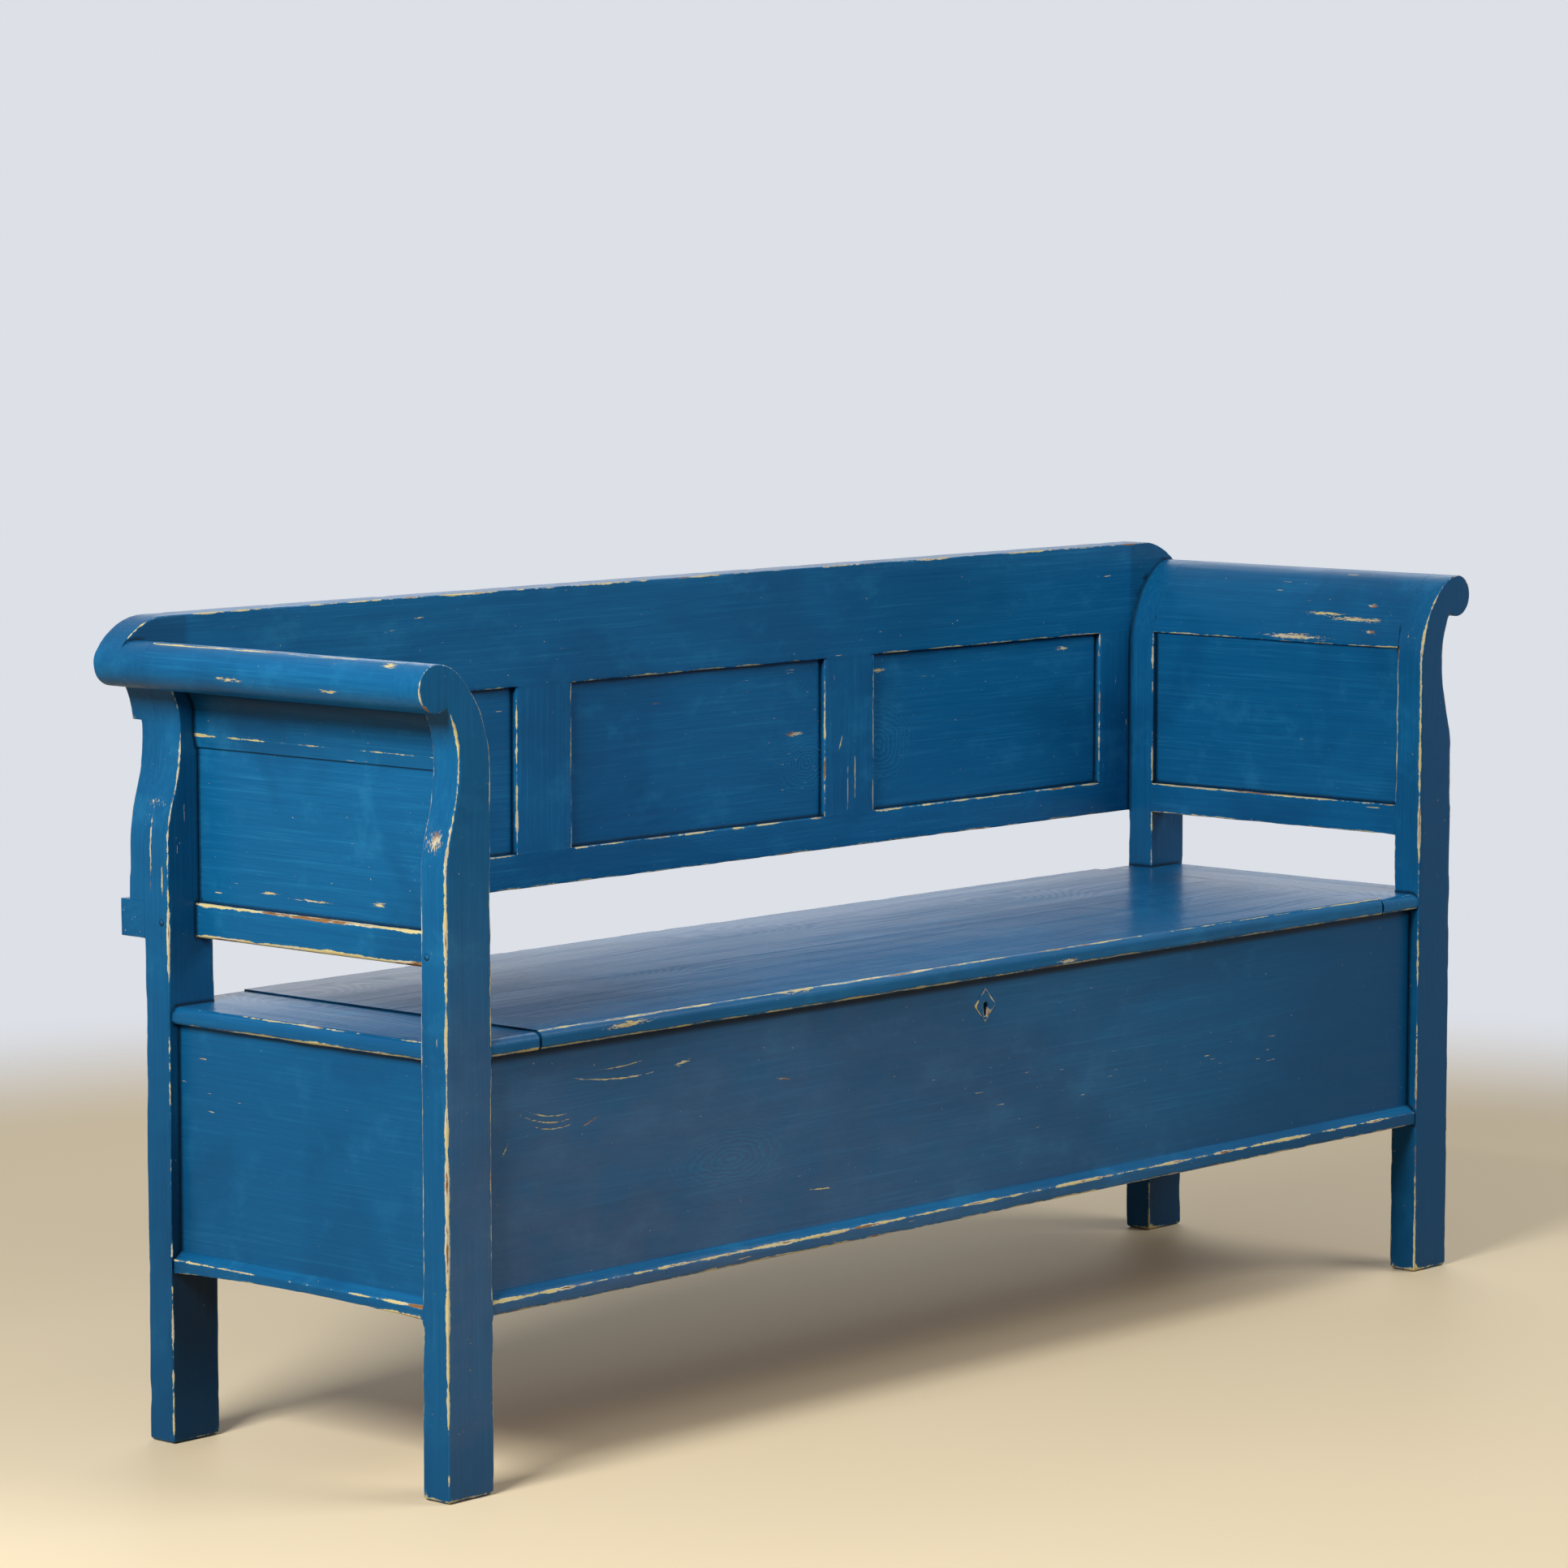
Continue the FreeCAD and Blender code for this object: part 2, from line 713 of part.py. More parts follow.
def make_escutcheon():
    """Lozenge plate round the keyhole on the front of the chest, held by four pins."""
    front = front_board_front - escutcheon_thickness
    half_width = escutcheon_width / 2
    half_height = escutcheon_height / 2
    tips = [(keyhole_offset + half_width, keyhole_z), (keyhole_offset, keyhole_z + half_height),
            (keyhole_offset - half_width, keyhole_z), (keyhole_offset, keyhole_z - half_height)]
    edges = [line(tips[index - 1], tips[index]) for index in range(len(tips))]
    plate = prism(edges, (front, front_board_front))
    pins = []
    for x, z in tips:
        pin_x = keyhole_offset + (x - keyhole_offset) * escutcheon_pin_share
        pin_z = keyhole_z + (z - keyhole_z) * escutcheon_pin_share
        if z < keyhole_z:
            pin_z = keyhole_z - keyhole_slot_length - 2 * escutcheon_pin_radius
        pins.append(rod(escutcheon_pin_radius, vector(pin_x, front, pin_z),
                        vector(pin_x, front + escutcheon_pin_length, pin_z)))
    parts["escutcheon"] = carve(plate, pins + [keyhole((front, front_board_front))])
    parts["escutcheon_pins"] = Part.makeCompound(pins)
    return pins


escutcheon_holes = make_escutcheon()


def bearer_places():
    """Middle of each cross bearer under the chest floor."""
    end = end_board_inner - bearer_width / 2
    inner = bearer_place_share * end_board_inner
    return [("left_end", -end), ("left", -inner), ("right", inner), ("right_end", end)]


def make_floor():
    """Cross bearers between the boards, and the floor boards that lie on them."""
    bearer_z = (bearer_bottom, floor_bottom)
    half = bearer_width / 2
    nails = []
    nail_z = (bearer_bottom + floor_bottom) / 2
    bearers = {}
    for name, x in bearer_places():
        at_end = name.endswith("end")
        y_range = post_gap if at_end else (front_board_back, rear_board_front)
        bearers[name] = box((x - half, x + half), y_range, bearer_z)
        if at_end:
            side = math.copysign(1, x)
            for y in (front_post_back + nail_margin, rear_post_front - nail_margin):
                head = vector(side * end_board_outer, y, nail_z)
                nails.append(nail(head, vector(-side, 0, 0), bearer_nail_length))
        else:
            nails.append(nail(vector(x, front_board_front, nail_z), vector(0, 1, 0),
                              bearer_nail_length))
            nails.append(nail(vector(x, rear_board_back, nail_z), vector(0, -1, 0),
                              bearer_nail_length))
    board_width = (rear_board_front - front_board_back) / floor_board_count
    nail_length = floor_board_thickness + floor_nail_bite
    posts = [parts[name] for name in parts if name.endswith("post")]
    floor_nails = []
    for index in range(floor_board_count):
        y_low = front_board_back + board_width * index
        board = box((-end_board_inner, end_board_inner), (y_low, y_low + board_width),
                    (floor_bottom, floor_top))
        board_nails = []
        for name, x in bearer_places():
            for y in (y_low + floor_nail_margin, y_low + board_width - floor_nail_margin):
                head = vector(x + bearer_width / 4, y, floor_top)
                board_nails.append(nail(head, vector(0, 0, -1), nail_length))
        floor_nails += board_nails
        parts["floor_board_%d" % (index + 1)] = carve(board, board_nails + posts)
    for name, bearer in bearers.items():
        parts["floor_bearer_" + name] = carve(bearer, nails + floor_nails)
    parts["floor_nails"] = Part.makeCompound(floor_nails)
    parts["bearer_nails"] = Part.makeCompound(nails)
    return nails


bearer_nail_holes = make_floor()


def end_arch():
    """Space under the shallow arch along the lower edge of each end."""
    y_low, y_high = front_post_back, rear_post_front
    middle = (y_low + y_high) / 2
    start = vector(0, y_low, box_clearance)
    crown = vector(0, middle, box_clearance + arch_rise)
    end = vector(0, y_high, box_clearance)
    edges = [Part.Arc(start, crown, end).toShape(), Part.LineSegment(end, start).toShape()]
    face = Part.Face(Part.Wire(Part.__sortEdges__(edges)))
    return face.extrude(vector(bench_length, 0, 0))


def skirting_outline(near, low):
    """Corner heights and depths of the skirting: a flat face under a bevel."""
    front = near - skirting_thickness
    high = low + skirting_height
    shoulder = high - skirting_bevel
    return [(near, low), (front, low), (front, shoulder), (near, high)]


def make_skirting():
    """Bevelled skirting along the foot of the front and of each end."""
    points = [vector(0, y, z) for y, z in skirting_outline(front_board_front, box_clearance)]
    face = Part.Face(Part.makePolygon(points + [points[0]]))
    front = face.extrude(vector(2 * inner_face, 0, 0))
    front.translate(vector(-inner_face, 0, 0))
    nail_z = box_clearance + (skirting_height - skirting_bevel) / 2
    front_nails = []
    for x in spread(-inner_face + nail_margin, inner_face - nail_margin, skirting_nail_count):
        head = vector(x, front_board_front - skirting_thickness, nail_z)
        front_nails.append(nail(head, vector(0, 1, 0), skirting_nail_length))
    parts["front_skirting"] = carve(front, front_nails)

    points = [vector(-y, front_post_back, z)
              for y, z in skirting_outline(-end_board_outer, box_clearance)]
    face = Part.Face(Part.makePolygon(points + [points[0]]))
    end = face.extrude(vector(0, rear_post_front - front_post_back, 0))
    end_nail_z = nail_z + arch_rise / 2
    end_nails = []
    for y in spread(front_post_back + 2 * nail_margin, rear_post_front - 2 * nail_margin,
                    end_skirting_nail_count):
        head = vector(end_board_outer + skirting_thickness, y, end_nail_z)
        end_nails.append(nail(head, vector(-1, 0, 0), skirting_nail_length))
    both_ends(carve(end, end_nails + [end_arch()]), "skirting")
    left_nails = [mirrored(piece) for piece in end_nails]
    parts["skirting_nails"] = Part.makeCompound(front_nails + end_nails + left_nails)
    return front_nails, end_nails


front_skirting_nails, end_skirting_nails = make_skirting()


def seat_nails():
    """Nails that hold the right seat board down on the chest."""
    nails = []
    x = (end_board_inner + end_board_outer) / 2
    for y in spread(front_post_back + nail_margin, rear_post_front - nail_margin, seat_nail_count):
        nails.append(nail(vector(x, y, seat_board_top), vector(0, 0, -1), seat_nail_length))
    x = inner_face - pivot_end_wall / 2
    for y in ((front_board_front + front_board_back) / 2, (rear_board_front + rear_board_back) / 2):
        nails.append(nail(vector(x, y, seat_board_top), vector(0, 0, -1), seat_nail_length))
    return nails


right_seat_nails = seat_nails()
left_seat_nails = [mirrored(piece) for piece in right_seat_nails]
parts["seat_nails"] = Part.makeCompound(right_seat_nails + left_seat_nails)
all_seat_nails = right_seat_nails + left_seat_nails


def pivot_rod(radius):
    """Iron pin in the right seat board, reaching into the end of the lid."""
    start = vector(inner_face - pivot_end_wall, pivot_y, pivot_z)
    end = vector(lid_half - pivot_in_lid, pivot_y, pivot_z)
    return rod(radius, start, end)


both_ends(pivot_rod(pivot_radius), "pivot_pin")


def rounded(shape, chosen, radius):
    """A board with the edges that answer a test rounded over."""
    edges = [edge for edge in shape.Edges if chosen(edge)]
    return shape.makeFillet(radius, edges)


def make_seat_board():
    """Fixed board at the right end of the seat, notched round both posts."""
    z_range = (lid_bottom, seat_board_top)
    wide = box((seat_board_inner, seat_board_outer), post_gap, z_range)
    long = box((seat_board_inner, inner_face), (seat_front, seat_rear), z_range)
    board = joined([wide, long])

    def on_nose(edge, z):
        centre = edge.CenterOfMass
        level = abs(centre.z - z) < edge_match
        flat = edge.BoundBox.ZLength < edge_match
        outer = abs(centre.x - seat_board_outer) < edge_match
        front = abs(centre.y - seat_front) < edge_match
        return level and flat and (outer or front)

    board = rounded(board, lambda edge: on_nose(edge, seat_board_top), nose_top_radius)
    board = rounded(board, lambda edge: on_nose(edge, lid_bottom), nose_bottom_radius)
    return carve(board, right_seat_nails + [parts["right_pivot_pin"]])


both_ends(make_seat_board(), "seat_board")


def lid_board(y_range):
    return box((-lid_half, lid_half), y_range, (lid_bottom, seat_height))


def make_lid():
    """Lid of two joined boards on two battens, with the staple for the lock."""
    front = lid_board((seat_front, seat_joint))

    def nose(edge, z):
        centre = edge.CenterOfMass
        near_front = abs(centre.y - seat_front) < edge_match
        return near_front and abs(centre.z - z) < edge_match

    front = rounded(front, lambda edge: nose(edge, seat_height), nose_top_radius)
    front = rounded(front, lambda edge: nose(edge, lid_bottom), nose_bottom_radius)
    batten_y = (front_board_back + lid_batten_end_gap, rear_board_front - lid_batten_end_gap)
    batten_z = (lid_bottom - lid_batten_thickness, lid_bottom)
    half = lid_batten_width / 2
    screws = []
    for side, name in ((-1, "left"), (1, "right")):
        x = side * lid_batten_place_share * lid_half
        batten = box((x - half, x + half), batten_y, batten_z)
        own = []
        for y in spread(batten_y[0] + batten_screw_margin, batten_y[1] - batten_screw_margin,
                        batten_screw_count):
            own.append(screw(vector(x, y, batten_z[0]), vector(0, 0, 1), batten_screw_length))
        parts["lid_batten_" + name] = carve(batten, [hole for hole, _ in own])
        screws += own
    holes = [hole for hole, _ in screws] + staple_screw_holes
    parts["lid_screws"] = Part.makeCompound([body for _, body in screws])
    bore = pivot_rod(pivot_radius + pivot_clearance)
    parts["lid_front_board"] = carve(front, holes)
    rear = lid_board((seat_joint, seat_rear))
    parts["lid_rear_board"] = carve(rear, holes + [bore, mirrored(bore)])


make_lid()


def make_chest():
    """Four boards of the chest, let into the posts."""
    through = (front_board_front, front_board_back)
    screws = [screw(place, vector(0, -1, 0), lock_screw_length)[0] for place in lock_screw_places()]
    front_cuts = [keyhole(through)] + screws + escutcheon_holes + front_skirting_nails
    parts["chest_front"] = carve(front_board, front_cuts + bearer_nail_holes + all_seat_nails)
    relief = box((-seat_board_inner, seat_board_inner), (rear_board_front, rear_board_back),
                 (rear_board_top, lid_bottom))
    parts["chest_rear"] = carve(rear_board, [relief] + bearer_nail_holes + all_seat_nails)
    end_cuts = end_skirting_nails + bearer_nail_holes + right_seat_nails + [end_arch()]
    both_ends(carve(end_board, end_cuts), "chest_end")


make_chest()

os.makedirs("parts", exist_ok=True)
for part_name, part_shape in parts.items():
    part_shape.exportStep(os.path.join("parts", part_name + ".step"))
print(len(parts), "nodes,", sum(len(shape.Solids) for shape in parts.values()), "solids")
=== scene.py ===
"""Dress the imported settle: worn blue paint on every board, old pine inside, forged iron fittings.

Everything is in metres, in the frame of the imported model. Each wooden piece is made anew from its
own solid: its open arrises are rubbed down by an uneven amount, its faces are cut into cells and
planed a little hollow, and every vertex notes how far the nearest arris lies, for the paint.
"""
import math
import random

import bmesh
import bpy
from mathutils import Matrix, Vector, noise
from mathutils.bvhtree import BVHTree
from mathutils.kdtree import KDTree


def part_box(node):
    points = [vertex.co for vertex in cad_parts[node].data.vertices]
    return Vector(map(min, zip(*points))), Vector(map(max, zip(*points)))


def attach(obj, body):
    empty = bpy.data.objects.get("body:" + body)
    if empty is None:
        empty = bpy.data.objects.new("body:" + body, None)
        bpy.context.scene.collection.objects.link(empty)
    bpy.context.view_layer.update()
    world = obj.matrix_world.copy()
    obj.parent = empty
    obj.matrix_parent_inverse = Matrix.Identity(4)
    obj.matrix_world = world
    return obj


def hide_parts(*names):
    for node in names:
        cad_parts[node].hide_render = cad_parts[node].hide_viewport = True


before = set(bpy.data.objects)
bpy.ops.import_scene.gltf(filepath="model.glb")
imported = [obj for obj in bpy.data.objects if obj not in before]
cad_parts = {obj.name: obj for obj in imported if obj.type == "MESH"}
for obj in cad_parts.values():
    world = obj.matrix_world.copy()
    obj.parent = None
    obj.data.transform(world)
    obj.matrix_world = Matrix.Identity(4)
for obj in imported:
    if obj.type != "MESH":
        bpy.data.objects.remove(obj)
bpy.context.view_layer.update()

MM = 0.001

# Camera, as fitted to the photograph: place, tilt below level, turn, lens on a square sensor, reach
CAMERA_PLACE = (-5.1236, -4.5454, 1.4207)
CAMERA_TILT = 6.043
CAMERA_TURN = -47.902
CAMERA_LENS = 129.24
SENSOR = 36.0
CAMERA_REACH = 60.0

# The welded mesh: points closer than this are one, and faces flatter than this are one
WELD = 0.01 * MM
FLAT = math.radians(0.4)

# Arrises: the least angle and length of one, the step in which its wear varies, the width and the
# segments of a full round, and how far from an arris its wear is noted
ARRIS_ANGLE = math.radians(30)
ARRIS_LEAST = 2.5 * MM
ARRIS_STEP = 9 * MM
ARRIS_WIDTH = 2.8 * MM
ARRIS_ROUNDS = 2
ARRIS_REACH = 30 * MM
NEAR_ARRISES = 6

# Creases: the softer edges of the sawn curves, which wear as an arris does but aren't rounded
CREASE_ANGLE = math.radians(11)
CREASE_LEAST = 100 * MM

# Wear: its least share, the share of a crease and of a rounded nose, and its noises along an arris,
# each with its waves a metre, its swing and its weight
WORN_LEAST_SHARE = 0.20
CREASE_SHARE = 0.75
NOSE_SHARE = 0.52
WEAR_NOISES = ((6.0, 0.9, 0.55), (31.0, 1.1, 0.45))

# Joints: pieces this near touch, and an arris this near the next piece is hardly worn
JOINT_GAP = 0.6 * MM
JOINT_SHARE = 0.07
WEAR_GAP = 4.0 * MM

# Corners: how far their painted shade reaches, where faces are cut beside the next piece, and how
# small a piece has none
PROBE = 7.0 * MM
PROBE_CUTS = (1.0 * MM, 6.0 * MM)
SMALL_PIECE = 60 * MM

# Faces: the size of a cell, the clearance of a cut from a square shoulder, how finely shoulders are
# told apart, and how near a cut snaps to a point
CELL = 18 * MM
HIDDEN_CELL = 60 * MM
CUT_CLEAR = 4 * MM
SHOULDER_DIGITS = 4
CUT_SNAP = 0.02 * MM

# The planed hollows and their waves a metre, and the chips of an arris: how deep, how often, how
# wide, and from what level of noise and wear they start
HOLLOW = 0.45 * MM
HOLLOW_WAVES = (7.0, 19.0)
CHIP = 1.1 * MM
CHIP_WAVES = 34.0
CHIP_BAND = 3.2 * MM
CHIP_BY_WEAR = 0.6
CHIP_LEVEL = 0.52
CHIP_SLOPE = 3.0

# Each board is cut from its own place in the grain, within this span
GRAIN_SPAN = 40.0
NORMAL_WEIGHT = 60


# Small helpers for material nodes

def add(tree, kind, inputs=None, **settings):
    """Add one node, with its settings, and set or link its inputs."""
    made = tree.nodes.new(kind)
    for name, value in settings.items():
        setattr(made, name, value)
    for socket, value in (inputs or {}).items():
        if isinstance(value, bpy.types.NodeSocket):
            tree.links.new(value, made.inputs[socket])
        else:
            made.inputs[socket].default_value = value
    return made


def calc(tree, operation, first, second=0.0, third=0.0, clamp=False):
    """One sum of two or three numbers or sockets."""
    made = add(tree, "ShaderNodeMath", {0: first, 1: second, 2: third}, operation=operation)
    made.use_clamp = clamp
    return made.outputs[0]


def times(tree, first, *others):
    """Multiply numbers or sockets."""
    for other in others:
        first = calc(tree, "MULTIPLY", first, other)
    return first


def weighted(tree, *terms, start=0.0):
    """Add numbers or sockets, each times its weight, to a start."""
    found = start
    for value, weight in terms:
        found = calc(tree, "MULTIPLY_ADD", value, weight, found)
    return found


def ramp(tree, value, low, high, to_low=0.0, to_high=1.0):
    """Bring a number from one range into another, smoothly and clamped."""
    inputs = {"Value": value, "From Min": low, "From Max": high, "To Min": to_low, "To Max": to_high}
    made = add(tree, "ShaderNodeMapRange", inputs, interpolation_type="SMOOTHSTEP")
    return made.outputs["Result"]


def mixed(tree, share, first, second):
    """Mix two numbers."""
    return add(tree, "ShaderNodeMix", {0: share, 2: first, 3: second}).outputs[0]


def blend(tree, share, first, second):
    """Mix two colours."""
    made = add(tree, "ShaderNodeMix", data_type="RGBA")
    for socket, value in ((0, share), (6, first), (7, second)):
        if isinstance(value, bpy.types.NodeSocket):
            tree.links.new(value, made.inputs[socket])
        elif socket:
            made.inputs[socket].default_value = (*value, 1.0)
        else:
            made.inputs[socket].default_value = value
    return made.outputs[2]


def streaks(tree, place, along, across, detail=3.0, rough=0.55, bend=0.0):
    """Noise drawn out along the grain: so many waves a metre along it and across it."""
    scaled = add(tree, "ShaderNodeVectorMath", {0: place, 1: (along, across, across)}, operation="MULTIPLY")
    inputs = {"Vector": scaled.outputs[0], "Scale": 1.0, "Detail": detail, "Roughness": rough,
              "Distortion": bend}
    return add(tree, "ShaderNodeTexNoise", inputs).outputs["Fac"]


def attribute(tree, name, output):
    """Read a value that the meshes carry."""
    return add(tree, "ShaderNodeAttribute", attribute_name=name, attribute_type="GEOMETRY").outputs[output]


def new_material(name):
    made = bpy.data.materials.new(name)
    made.use_nodes = True
    made.node_tree.nodes.clear()
    return made, made.node_tree


def finish_material(tree, inputs):
    shader = add(tree, "ShaderNodeBsdfPrincipled", inputs)
    add(tree, "ShaderNodeOutputMaterial", {"Surface": shader.outputs[0]})


# Old pine: its colours from pale wood to knots, how its fibre, stain and rings run, and how they are raised

PINE_PALE = (0.40, 0.235, 0.115)
PINE_DARK = (0.235, 0.115, 0.046)
PINE_FIBRE = (0.165, 0.085, 0.038)
PINE_GREY = (0.21, 0.17, 0.125)
PINE_KNOT = (0.075, 0.030, 0.012)
FIBRE = {"along": 8.0, "across": 420.0, "detail": 4.0, "rough": 0.65}
STAIN = {"along": 3.0, "across": 9.0, "detail": 4.0}
FIBRE_SHOWN = (0.45, 0.75, 0.0, 0.5)
STAIN_SHOWN = (0.45, 0.75, 0.0, 0.55)
KNOT_SHOWN = (0.80, 0.95)
FIBRE_RELIEF, RING_RELIEF = 0.6, 0.4
PINE_ROUGH, FIBRE_ROUGH = 0.62, 0.2

# Rings run along the board and swell round knots, of which there are so many a metre each way
KNOTS_A_METRE = (2.3, 4.2, 0.0)
KNOT_SCATTER = 0.8
KNOT_SWELLING = (0.0, 0.34, 1.0, 0.0)
RING_WANDER = {"along": 1.6, "across": 5.0, "detail": 2.0}
RINGS_A_METRE = 95.0
RINGS_WANDERED = 15.0
RINGS_AT_KNOT = 7.0


def growth_rings(tree, place):
    """Growth rings of a flat-sawn pine board, bending round its few knots: 0 pale, 1 dark."""
    sparse = add(tree, "ShaderNodeVectorMath", {0: place, 1: KNOTS_A_METRE}, operation="MULTIPLY")
    inputs = {"Vector": sparse.outputs[0], "Scale": 1.0, "Randomness": KNOT_SCATTER}
    knot = add(tree, "ShaderNodeTexVoronoi", inputs, voronoi_dimensions="2D").outputs["Distance"]
    swelling = ramp(tree, knot, *KNOT_SWELLING)
    across = add(tree, "ShaderNodeSeparateXYZ", {0: place}).outputs["Y"]
    wander = streaks(tree, place, **RING_WANDER)
    count = weighted(tree, (wander, RINGS_WANDERED), (across, RINGS_A_METRE), (swelling, RINGS_AT_KNOT))
    wave = calc(tree, "SINE", times(tree, count, math.tau))
    return calc(tree, "MULTIPLY_ADD", wave, 0.5, 0.5), swelling


def pine_look(tree, place, rings, knot):
    """Old pine: honey brown with darker rings, knots and a grey bloom, as colour, relief and roughness."""
    fibre = streaks(tree, place, **FIBRE)
    stain = streaks(tree, place, **STAIN)
    colour = blend(tree, rings, PINE_PALE, PINE_DARK)
    colour = blend(tree, ramp(tree, fibre, *FIBRE_SHOWN), colour, PINE_FIBRE)
    colour = blend(tree, ramp(tree, stain, *STAIN_SHOWN), colour, PINE_GREY)
    colour = blend(tree, ramp(tree, knot, *KNOT_SHOWN), colour, PINE_KNOT)
    relief = weighted(tree, (rings, RING_RELIEF), (fibre, FIBRE_RELIEF))
    return colour, relief, weighted(tree, (fibre, FIBRE_ROUGH), start=PINE_ROUGH)


def make_pine():
    """Old unpainted pine."""
    made, tree = new_material("old_pine")
    place = attribute(tree, "board", "Vector")
    colour, relief, rough = pine_look(tree, place, *growth_rings(tree, place))
    bump = add(tree, "ShaderNodeBump", {"Height": relief, "Strength": 0.6, "Distance": 0.4 * MM})
    finish_material(tree, {"Base Color": colour, "Roughness": rough, "Normal": bump.outputs[0],
                           "IOR": 1.45})
    return made


# The inside of the chest, which no brush has reached: half its length, its front and rear, its foot and top
INSIDE_LENGTH = 0.8885
INSIDE_DEPTH = (-0.2250, 0.1970)
INSIDE_HEIGHT = (0.1980, 0.4828)


def never_painted(tree, spot):
    """1 on the inner faces of the chest and on the underside of its lid."""
    found = calc(tree, "LESS_THAN", calc(tree, "ABSOLUTE", spot["X"]), INSIDE_LENGTH)
    for axis, (low, high) in (("Y", INSIDE_DEPTH), ("Z", INSIDE_HEIGHT)):
        above = calc(tree, "GREATER_THAN", spot[axis], low)
        below = calc(tree, "LESS_THAN", spot[axis], high)
        found = times(tree, found, above, below)
    return found


# Paint: a deep blue brushed along each board, over a cream coat, over ochre brown wood

BLUE = (0.0042, 0.110, 0.268)
BLUE_PALE = (0.022, 0.205, 0.400)
BLUE_DARK = (0.0022, 0.062, 0.165)
# Grey veil of painted reflection on the front-facing faces
PAINTED_REFLECTION_GREY = (0.100, 0.134, 0.225)
CREAM = (0.62, 0.565, 0.410)
YELLOW = (0.66, 0.57, 0.27)
OCHRE = (0.30, 0.150, 0.058)
GRIME = (0.030, 0.020, 0.014)
# Near black blue of painted shade: in corners, under overhangs and on the rear legs
PAINTED_SHADE = (0.003, 0.010, 0.022)

# How the marks run: waves a metre along the board and across it, or fixed in the room for the first two
BROAD = {"along": 2.6, "across": 5.0, "detail": 3.0, "bend": 0.6}
CLOUD = {"along": 10.0, "across": 17.0, "detail": 5.0, "rough": 0.65}
BRUSH = {"along": 5.0, "across": 310.0, "detail": 5.0, "rough": 0.66}
BRISTLE = {"along": 12.0, "across": 1100.0, "detail": 2.0}
LAP = {"along": 2.4, "across": 46.0, "detail": 4.0, "rough": 0.65}
RAGGED = {"along": 120.0, "across": 330.0, "detail": 5.0, "rough": 0.75}
SLOW = {"along": 17.0, "across": 20.0, "detail": 4.0, "rough": 0.7}
FRAY = {"along": 95.0, "across": 560.0, "detail": 4.0, "rough": 0.75}
TINT = {"along": 13.0, "across": 30.0, "detail": 3.0, "rough": 0.6}
CLUSTER = {"along": 2.6, "across": 7.0, "detail": 2.0}
FLECK = {"along": 24.0, "across": 300.0, "detail": 3.0, "rough": 0.5, "bend": 0.2}
SPECK = {"along": 210.0, "across": 330.0, "detail": 1.0}


class Ground:
    """What the layers of one paint share: places, directions, the grain and the brush marks."""

    def __init__(self, tree):
        coordinates = add(tree, "ShaderNodeTexCoord").outputs
        self.place = attribute(tree, "board", "Vector")
        self.fixed = coordinates["Object"]
        self.spot = add(tree, "ShaderNodeSeparateXYZ", {0: self.fixed}).outputs
        self.facing = add(tree, "ShaderNodeSeparateXYZ", {0: coordinates["Normal"]}).outputs
        self.out = calc(tree, "ABSOLUTE", self.spot["X"])
        self.rings, self.knot = growth_rings(tree, self.place)
        self.cloud = streaks(tree, self.fixed, **CLOUD)
        self.brush = streaks(tree, self.place, **BRUSH)
        self.bristle = streaks(tree, self.place, **BRISTLE)
        self.lap = streaks(tree, self.place, **LAP)
        self.ragged = streaks(tree, self.place, **RAGGED)


# The blue coat: what the marks of brush, bristle and lap weigh, and where each tone shows
THIN_BRUSH, THIN_BRISTLE, THIN_LAP = 0.50, 0.36, 0.14
THINLY_COATED = (0.50, 0.68, 0.0, 0.55)
FULLY_COATED = (0.50, 0.36, 0.0, 0.34)
DARK_CLOUDS = (0.44, 0.66, 0.0, 0.50)
PALE_CLOUDS = (0.52, 0.74, 0.0, 0.36)
RING_TONE, RING_TONE_BY_GRAIN = 0.04, 0.2


def blue_coat(tree, ground, grain):
    """Blue, paler where the brush ran dry, darker where it left much, and cloudy over the board."""
    thin = weighted(tree, (ground.bristle, THIN_BRISTLE), (ground.brush, THIN_BRUSH), (ground.lap, THIN_LAP))
    colour = blend(tree, ramp(tree, thin, *THINLY_COATED), BLUE, BLUE_PALE)
    colour = blend(tree, ramp(tree, thin, *FULLY_COATED), colour, BLUE_DARK)
    colour = blend(tree, ramp(tree, streaks(tree, ground.fixed, **BROAD), *DARK_CLOUDS), colour, BLUE_DARK)
    colour = blend(tree, ramp(tree, ground.cloud, *PALE_CLOUDS), colour, BLUE_PALE)
    ring_tone = RING_TONE + RING_TONE_BY_GRAIN * grain
    return blend(tree, times(tree, ground.rings, ring_tone), colour, BLUE_DARK)


# Where the front lies and gets a painted grey reflection and painted shade, and where the ends get painted
# shade, in metres and in directions
FACING_FRONT, LYING_IN_FRONT = (-0.6, -0.9), (-0.15, -0.20)
VEIL_TO_LEFT, VEIL_DOWNWARD = (0.75, -0.60), (0.78, 0.30)
VEIL_PATCHES = (0.30, 0.62, 0.26, 0.46)
SHADED_TO_RIGHT = (0.20, 0.88, 0.0, 0.95)
FACING_SIDEWAYS = (0.6, 0.9)
SHADED_ENDS = (0.60, 0.40, 0.0, 0.38)


